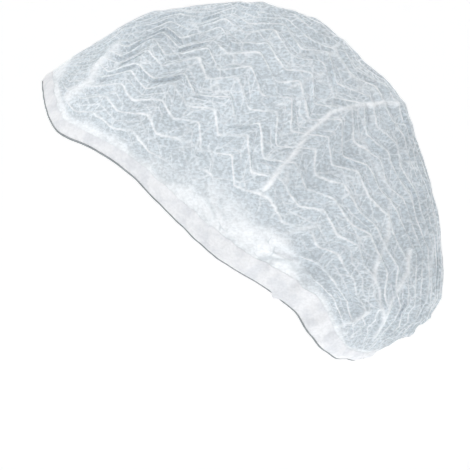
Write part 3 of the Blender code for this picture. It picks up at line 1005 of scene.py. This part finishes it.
@dataclass(frozen=True)
class HemFinish:
    """The same cloth folded double: whiter and nearly opaque."""

    face: tuple = (0.875, 0.885, 0.905, 1.0)
    # The dip colour is painted shade: the darker tone given to the hollows of the band's puckers.
    shaded_dip: tuple = (0.745, 0.765, 0.80, 1.0)
    lets_light: float = 0.16
    fibre_scale: float = 640.0
    cloud_scale: float = 110.0
    shaded_dips: Ramp = Ramp(0.38, 0.64, 0.0, 0.8)
    web: Ramp = Ramp(0.36, 0.64, 0.955, 1.03)
    roughness: float = 0.80
    web_height: float = 0.3
    dip_height: float = 0.6
    bump_strength: float = 0.6
    bump_depth: float = 0.0009

    def make(self) -> bpy.types.Material:
        """Builds the material.

        Returns:
            The finished material.
        """
        made = Shader("doubled_nonwoven")
        where = made.place()
        fibre = made.noise(where, self.fibre_scale, 3.0)
        cloud = made.noise(where, self.cloud_scale, 3.0)
        # Darker cloud patches: painted shade in the hollows of the puckers.
        colour = made.blend(self.shaded_dips.read(made, cloud), self.face, self.shaded_dip)
        colour = made.tint(colour, self.web.read(made, fibre))
        height = made.math("MULTIPLY", fibre, self.web_height)
        height = made.math("ADD", height, made.math("MULTIPLY", cloud, self.dip_height))
        normal = made.bump(height, self.bump_strength, self.bump_depth)
        return made.finish(made.nonwoven(colour, normal, self.roughness, self.lets_light))


@dataclass(frozen=True)
class ElasticFinish:
    """Grey rubber thread with a fine twisted cover."""

    rubber: tuple = (0.17, 0.19, 0.20, 1.0)
    cover: tuple = (0.31, 0.335, 0.35, 1.0)
    twist_scale: float = 330.0
    twist_bend: float = 1.2
    twist_share: float = 0.6
    patch_scale: float = 160.0
    patch_share: float = 0.4
    roughness: float = 0.68
    bump_strength: float = 0.5
    bump_depth: float = 0.0002

    def make(self) -> bpy.types.Material:
        """Builds the material.

        Returns:
            The finished material.
        """
        made = Shader("covered_elastic")
        where = made.place()
        inputs = {"Vector": where, "Scale": self.twist_scale, "Distortion": self.twist_bend, "Detail": 1.0}
        twist = made.node("ShaderNodeTexWave", inputs, bands_direction="DIAGONAL").outputs["Fac"]
        patch = made.noise(where, self.patch_scale)
        mixed = made.math("MULTIPLY", twist, self.twist_share)
        mixed = made.math("ADD", mixed, made.math("MULTIPLY", patch, self.patch_share))
        colour = made.blend(mixed, self.rubber, self.cover)
        normal = made.bump(twist, self.bump_strength, self.bump_depth)
        inputs = {"Base Color": colour, "Roughness": self.roughness, "Normal": normal}
        return made.finish(made.node("ShaderNodeBsdfPrincipled", inputs).outputs[0])


def new_mesh(name: str, points: Array, faces: Array) -> bpy.types.Object:
    """A smooth-shaded mesh object.

    Args:
        name: The object's name.
        points: Corners in metres, in the row's frame.
        faces: Corner numbers of each quad.

    Returns:
        The linked object.
    """
    mesh = bpy.data.meshes.new(name)
    mesh.from_pydata(points.tolist(), [], faces.tolist())
    mesh.polygons.foreach_set("use_smooth", np.ones(len(faces), bool))
    mesh.update()
    obj = bpy.data.objects.new(name, mesh)
    bpy.context.scene.collection.objects.link(obj)
    return obj


@dataclass
class Edging:
    """What the hem, the elastic and the crown share: the rippled lower edge of the cloth."""

    form: CapForm
    places: int = 720
    ripple: float = 0.55
    ripple_size: float = 7.5
    nape_wave: float = 0.55
    nape_wave_length: float = 17.5
    nape_start: float = 0.45
    nape_blend: float = 0.4
    gather: float = 1.25
    gather_size: float = 4.6
    wide_gather: float = 2.3
    wide_share: float = 0.6
    gather_front: float = 0.45
    gather_blend: float = 0.3
    front_swell: float = 1.0
    front_reach: float = 0.09
    mouth_calm: float = 0.75
    gather_power: float = 1.4

    def frames(self) -> tuple[Array, Array, Array, Array, Array]:
        """The frames round the edge.

        Returns:
            Runs, edge points, inward and outward directions, and depths.
        """
        runs = np.linspace(0.0, self.form.edge_total, self.places, endpoint=False)
        point, inward, outward, depth = self.form.edge_frame(runs)
        return runs, point, inward, outward, depth

    def waves(self, point: Array, runs: Array) -> tuple[Array, Array]:
        """How the cloth stands out from its smooth form at places along the edge, in millimetres.

        Args:
            point: Places of the edge.
            runs: Millimetres along the edge from the forehead.

        Returns:
            The edge's own waves, and the gathers at the top of the hem.
        """
        half = self.form.edge_total / 2
        share = np.abs(np.mod(runs + half, 2 * half) - half) / half
        wave = np.sin(runs * 2 * math.pi / self.nape_wave_length)
        rim = self.nape_wave * wave * smooth_step((share - self.nape_start) / self.nape_blend)
        rim = rim + self.ripple * noise_at(point, self.ripple_size, shift=4.4)
        wide = noise_at(point, self.wide_gather * self.gather_size, shift=2.7)
        pucker = noise_at(point, self.gather_size, shift=6.1) + self.wide_share * wide
        full = self.gather_front + (1 - self.gather_front) * smooth_step(share / self.gather_blend)
        pucker = self.gather * pucker * full
        return rim, pucker + self.front_swell * np.exp(-((share / self.front_reach) ** 2))

    def stand(self, rim: Array, gathers: Array, rise: Array | float) -> Array:
        """How far the cloth stands out at a share of the way up from the edge to the hem's mouth."""
        rise = np.clip(rise, 0.0, 1.0)
        return rim * (1 - self.mouth_calm * rise) + gathers * rise**self.gather_power

    @staticmethod
    def ring_faces(places: int, ring: int) -> Array:
        """Quads of a closed band.

        Args:
            places: How many places it has along its run.
            ring: How many corners its cross-section has.

        Returns:
            Corner numbers of each quad.
        """
        here = np.arange(places)[:, None] * ring
        there = (np.arange(places)[:, None] + 1) % places * ring
        now = np.arange(ring)[None, :]
        after = (now + 1) % ring
        return np.stack([here + now, here + after, there + after, there + now], axis=-1).reshape(-1, 4)


@dataclass
class CrownCloth:
    """The pleated bag of thin cloth, one sheet from one side of the hem over the top to the other."""

    form: CapForm
    edging: Edging
    columns: int = 64
    front_columns: tuple = (16, 32)
    back_columns: tuple = (16, 32, 32)
    row_steps: int = 10
    column_steps: int = 5
    steepest: float = 0.36
    pleat_rise: float = 1.3
    sway: float = 0.25
    sway_turns: tuple = (1.7, 5.0, 0.9)
    border_power: int = 6
    fold_variety: float = 0.2
    variety_turn: float = 2.3
    border_folds: float = 3.6
    front_settle: float = 3.0
    back_settle: float = 2.0
    gather_depth: float = 1.5
    gather_start: float = 0.11
    gather_reach: float = 0.24
    gather_from: float = 0.25
    gather_blend: float = 0.3
    lobe_depth: float = 1.5
    lobe_spread: float = 18.0
    lobe_fade: float = 34.0
    fold_rise: float = 3.0
    fold_start: float = 0.14
    fold_fade: float = 45.0
    far_side: float = 0.7
    corner_drift: float = 1.6
    drift_seed: int = 5
    drift_ways: tuple = (1.0, 0.8, 0.8)
    drift_flat: float = 0.75
    drift_rows: float = 4.0
    drift_row_start: float = 0.25
    drift_columns: float = 6.0
    drift_column_start: float = 0.3
    soften: float = 0.10
    billow: float = 0.7
    billow_size: float = 34.0
    still_rows: float = 1.5
    still_columns: float = 4.0
    crumple: float = 0.65
    crumple_size: float = 16.0
    crumple_middle: float = 0.4
    fine_crumple: float = 0.28
    fine_size: float = 5.5
    bunch_crumple: float = 1.1
    bunch_size: float = 8.0
    bunch_stretch: tuple = (1.6, 1.0, 0.7)
    crease_stray: float = 1.9
    stray_size: float = 13.0
    uneven_size: float = 12.0
    tone_middle: float = 0.88
    tone_spread: float = 0.45
    bunch_ragged: float = 7.5
    ragged_size: float = 17.0
    ragged_fine: float = 6.0
    ragged_fine_share: float = 0.5
    ragged_at_hem: float = 0.35
    bunch_side: float = 20.0
    bunch_side_fade: float = 25.0
    bunch_fade: float = 21.0
    hem_blend: float = 4.0
    hem_fade: float = 10.0
    tip_blend: float = 11.0
    tip_reach: float = 0.10
    hem_white: float = 0.9
    row_width: float = 15.0
    column_width: float = 6.2
    rim_reach: float = 3.0
    end_rim_share: float = 0.4
    margin_in_hem: float = 4.0
    margin_least: float = 5.0
    uv_margin: float = 0.02
    uv_skirt: float = 1.03
    mouth_steps: int = 1600
    flat_width: float = 0.42
    flat_length: float = 0.47
    flat_area: float = 0.155

    def columns_in(self, row: int) -> int:
        """How many folds a row has across the crown.

        Args:
            row: The row's number, from the forehead.

        Returns:
            The number of folds.
        """
        if row < len(self.front_columns):
            return self.front_columns[row]
        if self.form.rows - row < len(self.back_columns):
            return self.back_columns[self.form.rows - row]
        return self.columns

    def fold_height(self, points: Array) -> Array:
        """Height of the large folds.

        Args:
            points: Places on the crown.

        Returns:
            One height in millimetres for each point.
        """
        total = np.zeros(len(points))
        for _, first, second, third, height, width in FOLDS:
            nearest = self.form.line_distance(points, (first, second, third))
            reach = width * self.form.crown_reach
            total += height * self.fold_rise * np.exp(-((nearest / reach) ** 2))
        return total * self.side_weight(points)

    def side_weight(self, points: Array) -> Array:
        """Folds die away toward the middle, and are shallower on the far side."""
        away = smooth_step(np.abs(points[:, 1]) / self.fold_fade)
        return away * np.where(points[:, 1] > 0, self.far_side, 1.0)

    def zigzag(self, row: int, across: Array, share: float, length: float) -> Array:
        """Moves the corners of a row forward or back, so that its neighbours zigzag.

        Args:
            row: The row's number.
            across: Places from -1 to 1 along it.
            share: The row's place along the middle.
            length: The row's length in millimetres.

        Returns:
            The moved places.
        """
        before = self.form.smooth_row(row - 1, across)
        after = self.form.smooth_row(row + 1, across)
        step = np.linalg.norm(after - before, axis=1) / 2
        side = 1 if row % 2 else -1
        size = float(Curve(PLEATS, 1).read(share))
        by_row, by_place, lag = self.sway_turns
        sway = 1 + self.sway * math.sin(by_row * row) * np.sin(by_place * across + lag * row)
        return across + side * size * step * sway * (1 - np.abs(across) ** self.border_power) / (length / 2)

    def relief(self, row: int, across: Array, share: float, points: Array, length: float) -> Array:
        """Height of a row's pleats, gathers, lobes and large folds.

        Args:
            row: The row's number.
            across: Places from -1 to 1 along it.
            share: The row's place along the middle.
            points: The row's places on the smooth crown.
            length: The row's length in millimetres.

        Returns:
            One height in millimetres for each place.
        """
        rows = self.form.rows
        side = 1 if row % 2 else -1
        ends = min(1.0, row / self.front_settle, (rows - row) / self.back_settle)
        number = np.arange(len(across))
        rise = np.clip(np.minimum(number, number[::-1]) / self.border_folds, 0.0, 1.0) * ends
        height = float(Curve(PLEATS, 2).read(share)) * self.pleat_rise
        height = min(height, self.steepest * length / (len(across) - 1))
        varied = 1 + self.fold_variety * np.sin(self.variety_turn * number + row)
        pleat = -2.0 * height * (number % 2) * rise * varied
        inside = 1 - np.abs(across)
        bump = smooth_step(inside / self.gather_start) * (1 - smooth_step(inside / self.gather_reach))
        behind = smooth_step((share - self.gather_from) / self.gather_blend)
        gather = side * self.gather_depth * bump * behind * ends
        lobe = np.zeros(len(across))
        if row >= rows - self.form.lobe_rows:
            near = 1 - smooth_step((np.abs(points[:, 1]) - self.lobe_spread) / self.lobe_fade)
            lobe = (0.5 * side - 0.5) * self.lobe_depth * near * ends
        folds = self.fold_height(points) * smooth_step(inside / self.fold_start) * ends
        return pleat + gather + lobe + folds

    def row_of_pleats(self, row: int) -> tuple[Array, Array]:
        """One row of pleat corners.

        Args:
            row: The row's number, from the forehead.

        Returns:
            Points and outward directions, one for each column's edge.
        """
        form = self.form
        across = np.linspace(-1.0, 1.0, self.columns_in(row) + 1)
        share = form.mid_places[row] / form.mid_total
        if row in (0, form.rows):
            point, inward, outward, depth = form.edge_frame(form.end_run(row, across))
            return point + inward * depth[:, None], outward
        plain = form.smooth_row(row, across)
        length = np.linalg.norm(np.diff(plain, axis=0), axis=1).sum()
        across = self.zigzag(row, across, share, length)
        points = form.smooth_row(row, across)
        normal = form.normals_of(row, across)
        height = self.relief(row, across, share, points, length)
        for end, hand in ((0, -1.0), (-1, 1.0)):
            point, inward, outward, depth = form.edge_frame(np.array([hand * form.side_places[row]]))
            points[end] = point[0] + inward[0] * depth[0]
            normal[end] = outward[0]
        return points + normal * height[:, None], normal

    def corners(self) -> tuple[Array, Array]:
        """All pleat corners, every row spread over the same number of columns.

        Returns:
            The corners and their outward directions, by row and column.
        """
        points = []
        normals = []
        at = np.linspace(0.0, 1.0, self.columns + 1)
        for row in range(self.form.rows + 1):
            for kept, values in zip((points, normals), self.row_of_pleats(row)):
                places = np.linspace(0.0, 1.0, len(values))
                kept.append(np.stack([np.interp(at, places, values[:, k]) for k in range(3)], axis=-1))
        shape = (len(points), self.columns + 1, 3)
        drift = np.random.default_rng(self.drift_seed).normal(0.0, self.corner_drift, shape)
        row = np.arange(len(points))
        column = np.arange(self.columns + 1)
        rows_in = np.minimum(row, row[::-1]) / self.drift_rows - self.drift_row_start
        columns_in = np.minimum(column, column[::-1]) / self.drift_columns - self.drift_column_start
        free = np.clip(rows_in, 0.0, 1.0)[:, None] * np.clip(columns_in, 0.0, 1.0)[None, :]
        drift = drift * free[..., None] * np.array(self.drift_ways)
        normals = np.array(normals)
        proud = (drift * normals).sum(-1, keepdims=True)
        drift = drift - self.drift_flat * proud * normals
        return np.array(points) + drift, normals

    def weights(self, cells: int, steps: int) -> Array:
        """Reads a row of corners at even steps, with the sharp turn at each corner slightly eased.

        Args:
            cells: How many folds the row has.
            steps: How many steps there are in a fold.

        Returns:
            The weight of each corner at each step.
        """
        at = np.linspace(0.0, cells, cells * steps + 1)
        total = np.zeros((len(at), cells + 1))
        index = np.arange(len(at))
        for shift, share in ((-self.soften, 0.25), (0.0, 0.5), (self.soften, 0.25)):
            place = np.clip(at + shift, 0.0, cells)
            low = np.minimum(place.astype(int), cells - 1)
            part = place - low
            total[index, low] += share * (1 - part)
            total[index, low + 1] += share * part
        for end in (0, -1):
            total[end] = 0.0
            total[end, end] = 1.0
        return total

    def mouth_places(self, runs: Array) -> tuple[Array, Array]:
        """Where the sheet leaves the hem and where its margin ends inside it.

        Args:
            runs: Millimetres along the edge from the forehead.

        Returns:
            The places at the mouth and at the margin's end.
        """
        low, inward, outward, depth = self.form.edge_frame(runs)
        rim, gathers = self.edging.waves(low, runs)
        ends = []
        for up in (depth, depth - np.minimum(self.margin_in_hem, depth - self.margin_least)):
            out = self.edging.stand(rim, gathers, up / depth)
            ends.append(low + inward * up[:, None] + outward * out[:, None])
        return ends[0], ends[1]

    def seat_rim(self, points: Array) -> Array:
        """Draws the sheet's border onto the hem's true curve, which straight runs between corners miss.

        Args:
            points: The sheet's places by row and column.

        Returns:
            The places with the border seated.
        """
        form = self.form
        high, wide = points.shape[:2]
        row = np.arange(high) / self.row_steps
        column = np.arange(wide) / self.column_steps
        side = np.interp(row, np.arange(form.rows + 1), form.side_places)
        for hand, edge, inside in ((-1.0, 0, column), (1.0, -1, self.columns - column)):
            miss = self.mouth_places(hand * side)[0] - points[:, edge]
            share = 1 - smooth_step(inside / self.rim_reach)
            points = points + share[None, :, None] * miss[:, None, :]
        across = np.linspace(-1.0, 1.0, wide)
        for end, edge, inside in ((0, 0, row), (form.rows, -1, form.rows - row)):
            miss = self.mouth_places(form.end_run(end, across))[0] - points[edge]
            share = 1 - smooth_step(inside / (self.end_rim_share * self.rim_reach))
            points = points + share[:, None, None] * miss[None]
        return points

    def bunched(self, points: Array, from_hem: Array) -> Array:
        """How far the cloth lies bunched above the hem.

        Args:
            points: Places on the sheet, in the opening's frame.
            from_hem: Distance of each place from the hem, in millimetres.

        Returns:
            One value from 0 to 1 for each place.
        """
        share = points[:, 0] / self.form.opening_length + 0.5
        border = Curve(BUNCH).read(share) * self.form.crown_reach
        fine = self.ragged_fine_share * noise_at(points, self.ragged_fine, shift=9.2)
        ragged = self.bunch_ragged * (noise_at(points, self.ragged_size, shift=3.7) + fine)
        side = smooth_step((np.abs(points[:, 1]) - self.bunch_side) / self.bunch_side_fade)
        above = smooth_step((border + ragged - points[:, 2]) / self.bunch_fade + 0.5) * side
        tip = self.tip_blend * np.exp(-((share / self.tip_reach) ** 2))
        reach = self.hem_blend + tip + self.ragged_at_hem * ragged
        beside = 1 - smooth_step((from_hem - reach) / self.hem_fade + 0.5)
        return np.maximum(above, self.hem_white * beside)

    def creased(self, points: Array) -> tuple[Array, Array, Array]:
        """The thin creases pressed into the cloth.

        Args:
            points: Places on the sheet.

        Returns:
            Their height, how much whiter the doubled cloth is there, and how much painted shade darkens the
            shaded creases.
        """
        lift = np.zeros(len(points))
        whiter = np.zeros(len(points))
        darker = np.zeros(len(points))
        side = self.side_weight(points)
        stray = np.zeros_like(points)
        stray[:, 0] = noise_at(points, self.stray_size, shift=5.5)
        stray[:, 2] = noise_at(points, self.stray_size, shift=6.6)
        strayed = points + self.crease_stray * stray
        spread = self.tone_spread * noise_at(points, self.uneven_size, shift=0.8)
        uneven = np.clip(self.tone_middle + spread, 0.0, 1.0)
        for _, line, height, width, tone in CREASES:
            near = np.exp(-((self.form.line_distance(strayed, line) / width) ** 2)) * side
            lift += height * near
            whiter = np.maximum(whiter, near * uneven * max(tone, 0.0))
            # Tones below zero are painted shade, darker where the crease is sunk.
            darker = np.maximum(darker, near * uneven * max(-tone, 0.0))
        return lift, whiter, darker

    def crumpled(self, points: Array, bunch: Array) -> Array:
        """Height of the cloth's billows and crumples.

        Args:
            points: Places on the sheet.
            bunch: How far the cloth lies bunched there.

        Returns:
            One height in millimetres for each place.
        """
        ridged = 1 - 2 * np.abs(noise_at(points, self.crumple_size, shift=1.3))
        ridges = self.crumple * (ridged - self.crumple_middle)
        rough = self.billow * noise_at(points, self.billow_size) + ridges
        rough = rough + self.fine_crumple * noise_at(points, self.fine_size, shift=7.1)
        stretched = points * np.array(self.bunch_stretch)
        return rough + bunch * self.bunch_crumple * noise_at(stretched, self.bunch_size, shift=2.2)

    def build(self) -> bpy.types.Object:
        """Builds the sheet with its pleats, folds, creases and crumples.

        Returns:
            The sheet's object.
        """
        corners, normals = self.corners()
        by_row = self.weights(self.form.rows, self.row_steps)
        by_column = self.weights(self.columns, self.column_steps)
        points = self.seat_rim(np.einsum("ai,ijk,bj->abk", by_row, corners, by_column))
        outward = unit(np.einsum("ai,ijk,bj->abk", by_row, normals, by_column)).reshape(-1, 3)
        high, wide = points.shape[:2]
        flat = points.reshape(-1, 3)
        row = np.repeat(np.arange(high), wide) / self.row_steps
        column = np.tile(np.arange(wide), high) / self.column_steps
        rows_in = np.minimum(row, self.form.rows - row)
        columns_in = np.minimum(column, self.columns - column)
        free = smooth_step(rows_in / self.still_rows) * smooth_step(columns_in / self.still_columns)
        bunch = self.bunched(flat, np.minimum(rows_in * self.row_width, columns_in * self.column_width))
        lift, whiter, darker = self.creased(flat)
        flat = flat + outward * ((lift + self.crumpled(flat, bunch)) * free)[:, None]
        index = np.arange(high * wide).reshape(high, wide)
        faces = np.stack([index[:-1, :-1], index[:-1, 1:], index[1:, 1:], index[1:, :-1]], axis=-1)
        rim = np.concatenate([index[0, :-1], index[:-1, -1], index[-1, :0:-1], index[:0:-1, 0]])
        skirt, skirt_faces = self.skirt(flat, rim)
        points = self.form.tipped(np.concatenate([flat, skirt]))
        obj = new_mesh("crown_cloth", points, np.concatenate([faces.reshape(-1, 4), skirt_faces]))
        self.number(obj, row, column, rim)
        for name, values in (("bunch", bunch), ("whiter", whiter), ("darker", darker)):
            values = np.concatenate([values, values[rim]]).astype(np.float32)
            obj.data.attributes.new(name, "FLOAT", "POINT").data.foreach_set("value", values)
        return obj

    def number(self, obj: bpy.types.Object, row: Array, column: Array, rim: Array) -> None:
        """Stores the cloth's own column and row numbers as its flat pattern.

        Args:
            obj: The sheet's object.
            row: The row's number at each point.
            column: The column's number at each point.
            rim: Numbers of the points round the border, which the margin repeats.
        """
        flat = []
        for number, count in ((column, self.columns), (row, self.form.rows)):
            share = self.uv_margin + (1 - 2 * self.uv_margin) * number / count
            flat.append(np.concatenate([share, 0.5 + (share[rim] - 0.5) * self.uv_skirt]))
        corner = np.empty(len(obj.data.loops), int)
        obj.data.loops.foreach_get("vertex_index", corner)
        pattern = np.stack(flat, axis=-1)[corner].astype(np.float32)
        obj.data.uv_layers.new(name="pleats").data.foreach_set("uv", pattern.ravel())

    def skirt(self, points: Array, rim: Array) -> tuple[Array, Array]:
        """The plain margin that runs down between the hem's two leaves.

        Args:
            points: The sheet's points.
            rim: Numbers of the points round its border.

        Returns:
            The margin's points and faces.
        """
        runs = np.linspace(0.0, self.form.edge_total, self.mouth_steps, endpoint=False)
        mouth, margin = self.mouth_places(runs)
        lower = []
        for place in points[rim]:
            nearest = int(np.argmin(((mouth - place) ** 2).sum(axis=1)))
            lower.append(place + margin[nearest] - mouth[nearest])
        number = len(points) + np.arange(len(rim))
        faces = np.stack([np.roll(rim, -1), rim, number, np.roll(number, -1)], axis=-1)
        return np.array(lower), faces

    def dress(self, obj: bpy.types.Object, with_pieces: list) -> None:
        """Gives the sheet its finish and its place in the part.

        Args:
            obj: The sheet's object.
            with_pieces: The pieces sewn to it; not used.
        """
        obj.data.materials.append(PleatedFinish(self.columns, self.form.rows, self.uv_margin).make())
        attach(obj, "root")
        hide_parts("crown")


@dataclass
class HemBand:
    """The folded band round the opening, with the crown's margin between its leaves."""

    edging: Edging
    leaf: float = 0.65
    slot_half: float = 0.50
    elastic_size: float = 1.7
    elastic_shows: float = 1.3
    gap: float = 0.3
    groove_gap: float = 0.02
    web: float = 1.2
    foot_round: float = 0.6
    foot_edge: float = 0.1
    foot_inset: float = 0.10
    inner_foot_inset: float = 0.15
    heel_swell: float = 0.05
    slot_inset: float = 0.1
    pucker_power: float = 0.8
    thinning_power: float = 2.2
    lip_back: float = 0.9
    lip_reach: float = 1.5
    tab_share: float = 0.695
    tab_length: float = 2.4
    tab_flare: float = 0.8
    tab_half_width: float = 2.6
    lip_wave: float = 0.8
    lip_wave_size: float = 9.0
    lip_out: float = 0.20
    lip_in: float = 0.10
    lip_step: float = 0.05
    belly: float = 0.20
    pucker: float = 0.7
    pucker_size: float = 6.5
    pucker_middle: float = 0.35
    steps: tuple = (0.14, 0.28, 0.42, 0.56, 0.70, 0.84, 0.94, 0.985)

    def section(self, top: float, tab: float, pucker: float) -> list[tuple[float, float]]:
        """The band's cross-section; its leaves thin out toward the lip and lie on the crown there.

        Args:
            top: Height of the lip up the cloth.
            tab: From 0 to 1 where the small tab hangs.
            pucker: How far the outer leaf swells out at this place.

        Returns:
            Corners as distance up the cloth and distance out of it.
        """
        skin = self.slot_half + self.leaf
        shows = self.elastic_shows
        floor = self.elastic_size + self.gap
        groove = self.elastic_size / 2 + self.groove_gap
        foot = shows - self.tab_length * tab
        heel = foot + self.foot_round
        out = skin + self.tab_flare * tab
        slope = []
        for share in self.steps:
            swell = pucker * math.sin(math.pi * share**self.pucker_power)
            swell = self.belly * math.sin(math.pi * share) + swell
            thick = self.lip_out + (skin - self.lip_out) * (1 - share**self.thinning_power)
            slope.append((heel + share * (top - heel), thick, swell))
        outer = [(foot, groove), (foot + self.foot_edge, out - self.foot_inset)]
        outer += [(heel, out + self.heel_swell)]
        outer += [(up, thick + swell) for up, thick, swell in slope]
        mouth = [
            (top, self.lip_in),
            (top - self.lip_reach, self.lip_in + self.lip_step),
            (floor + self.web, self.slot_half - self.slot_inset),
        ]
        outer += [(top, self.lip_out)] + mouth
        inner = [(up, -out) for up, out in mouth[::-1]] + [(top, -self.lip_out)]
        inner += [(up, -thick) for up, thick, _ in slope[::-2]]
        inner_foot = (shows + self.foot_edge, self.inner_foot_inset - skin)
        inner += [(shows + self.foot_round, -skin), inner_foot, (shows, -groove)]
        return outer + inner + [(floor, -groove), (floor, groove)]

    def build(self) -> bpy.types.Object:
        """Builds the band.

        Returns:
            The band's object.
        """
        edging = self.edging
        runs, low, inward, outward, depth = edging.frames()
        rim, gathers = edging.waves(low, runs)
        tab_run = edging.form.edge_total * (1 - self.tab_share / 2)
        tab = np.exp(-(((runs - tab_run) / self.tab_half_width) ** 2))
        top = depth - self.lip_back + self.lip_wave * noise_at(low, self.lip_wave_size, shift=8.8)
        swells = noise_at(low, self.pucker_size, shift=1.9) + self.pucker_middle
        pucker = self.pucker * np.clip(swells, 0.0, 1.0)
        points = []
        for k in range(len(runs)):
            for up, out in self.section(float(top[k]), float(tab[k]), float(pucker[k])):
                moved = float(edging.stand(rim[k], gathers[k], up / depth[k]))
                points.append(low[k] + inward[k] * up + outward[k] * (out + moved))
        ring = len(points) // len(runs)
        faces = edging.ring_faces(len(runs), ring)
        return new_mesh("hem_band", edging.form.tipped(np.array(points)), faces)

    def dress(self, obj: bpy.types.Object) -> None:
        """Gives the band its finish and its place in the part.

        Args:
            obj: The band's object.
        """
        obj.data.materials.append(HemFinish().make())
        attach(obj, "root")
        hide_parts("hem")


@dataclass
class ElasticThread:
    """The thin covered elastic under the fold of the hem."""

    edging: Edging
    size: float = 1.6
    round_share: float = 0.98
    sides: int = 10
    outward: float = 0.30

    def build(self) -> bpy.types.Object:
        """Builds the thread.

        Returns:
            The thread's object.
        """
        edging = self.edging
        runs, low, inward, outward, _ = edging.frames()
        sway = edging.waves(low, runs)[0]
        half = self.size / 2
        turn = np.arange(self.sides) * 2 * math.pi / self.sides
        up = half + half * self.round_share * np.sin(turn)
        out = half * self.round_share * np.cos(turn)
        points = low[:, None] + inward[:, None] * up[None, :, None]
        proud = self.outward + sway
        points = points + outward[:, None] * (out[None, :] + proud[:, None])[..., None]
        faces = edging.ring_faces(len(runs), self.sides)
        return new_mesh("elastic_thread", edging.form.tipped(points.reshape(-1, 3)), faces)

    def dress(self, obj: bpy.types.Object) -> None:
        """Gives the thread its finish and its place in the part.

        Args:
            obj: The thread's object.
        """
        obj.data.materials.append(ElasticFinish().make())
        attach(obj, "root")
        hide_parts("elastic")


@dataclass(frozen=True)
class SoftLight:
    """One soft square light: its place and size in metres, and its power in watts."""

    name: str
    place: tuple
    size: float
    power: float


@dataclass
class Studio:
    """Camera, soft lights and a pale swept floor."""

    lens: float = 400.0
    distance: float = 3.08
    look_down: float = 1.0
    clip_end: float = 50.0
    centre: tuple = (0.0192, 0.0, -0.0091)
    lights: tuple = (
        SoftLight("key", (-0.7, -0.75, 1.3), 0.45, 14.5),
        SoftLight("fill", (1.1, -1.1, 0.1), 1.2, 4.0),
        SoftLight("rim", (0.8, 1.1, 0.9), 1.0, 8.0),
    )
    world_tone: tuple = (1.0, 1.0, 1.0, 1.0)
    world_strength: float = 0.43
    floor_height: float = -0.32
    floor_tone: tuple = (0.90, 0.905, 0.91, 1.0)
    floor_roughness: float = 0.9
    floor_glow: float = 0.47
    floor_front: float = -7.0
    floor_back: float = 7.0
    floor_half_width: float = 8.0
    sweep_radius: float = 2.0
    sweep_steps: int = 12
    wall_height: float = 7.0

    def camera(self) -> None:
        """Places the camera square to the cap's side, as in the photograph."""
        data = bpy.data.cameras.new("camera")
        data.lens = self.lens
        data.clip_end = self.clip_end
        camera = bpy.data.objects.new("camera", data)
        tilt = math.radians(self.look_down)
        away = self.distance * math.cos(tilt)
        raised = self.distance * math.sin(tilt)
        camera.location = (self.centre[0], self.centre[1] - away, self.centre[2] + raised)
        camera.rotation_euler = (math.pi / 2 - tilt, 0.0, 0.0)
        bpy.context.scene.collection.objects.link(camera)
        bpy.context.scene.camera = camera

    def shine(self, light: SoftLight) -> None:
        """Adds one light that faces the cap.

        Args:
            light: The light to add.
        """
        data = bpy.data.lights.new(light.name, "AREA")
        data.size = light.size
        data.energy = light.power
        lamp = bpy.data.objects.new(light.name, data)
        lamp.location = light.place
        way = Vector(self.centre) - Vector(light.place)
        lamp.rotation_euler = way.to_track_quat("-Z", "Y").to_euler()
        bpy.context.scene.collection.objects.link(lamp)

    def backdrop(self) -> None:
        """Adds a pale sheet that lies on the floor and sweeps up behind the cap."""
        radius = self.sweep_radius
        profile = [(self.floor_front, 0.0), (0.0, 0.0), (self.floor_back - radius, 0.0)]
        for step in range(1, self.sweep_steps + 1):
            turn = math.radians(90 * step / self.sweep_steps)
            along = self.floor_back - radius + radius * math.sin(turn)
            profile.append((along, radius * (1 - math.cos(turn))))
        profile.append((self.floor_back, self.wall_height))
        points = []
        for along, up in profile:
            for across in (-self.floor_half_width, self.floor_half_width):
                points.append((across, along, self.floor_height + up))
        faces = [(2 * k, 2 * k + 1, 2 * k + 3, 2 * k + 2) for k in range(len(profile) - 1)]
        sheet = new_mesh("floor", np.array(points), np.array(faces))
        made = Shader("pale_floor")
        inputs = {
            "Base Color": self.floor_tone,
            "Roughness": self.floor_roughness,
            "Emission Color": self.world_tone,
            "Emission Strength": self.floor_glow,
        }
        surface = made.node("ShaderNodeBsdfPrincipled", inputs).outputs[0]
        sheet.data.materials.append(made.finish(surface))

    def world(self) -> None:
        """Even white light from all round."""
        world = bpy.data.worlds.new("studio")
        world.use_nodes = True
        back = world.node_tree.nodes["Background"]
        back.inputs["Color"].default_value = self.world_tone
        back.inputs["Strength"].default_value = self.world_strength
        bpy.context.scene.world = world

    def build(self) -> None:
        """Sets up the studio, with plain tones so that near-white cloth keeps its own."""
        bpy.context.scene.view_settings.view_transform = "Standard"
        self.camera()
        self.world()
        for light in self.lights:
            self.shine(light)
        self.backdrop()


def main() -> None:
    """Builds the cap's pieces in order and reports each one."""
    logging.basicConfig(level=logging.INFO, format="%(name)s: %(message)s")
    Studio().build()
    edging = Edging(CapForm())
    hem = HemBand(edging)
    hem_obj = hem.build()
    hem.dress(hem_obj)
    LOG.info("hem: %d faces", len(hem_obj.data.polygons))
    elastic = ElasticThread(edging)
    elastic_obj = elastic.build()
    elastic.dress(elastic_obj)
    LOG.info("elastic: %d faces", len(elastic_obj.data.polygons))
    crown = CrownCloth(edging.form, edging)
    crown_obj = crown.build()
    crown.dress(crown_obj, [hem_obj, elastic_obj])
    LOG.info("crown: %d faces", len(crown_obj.data.polygons))


if __name__ == "__main__":
    main()
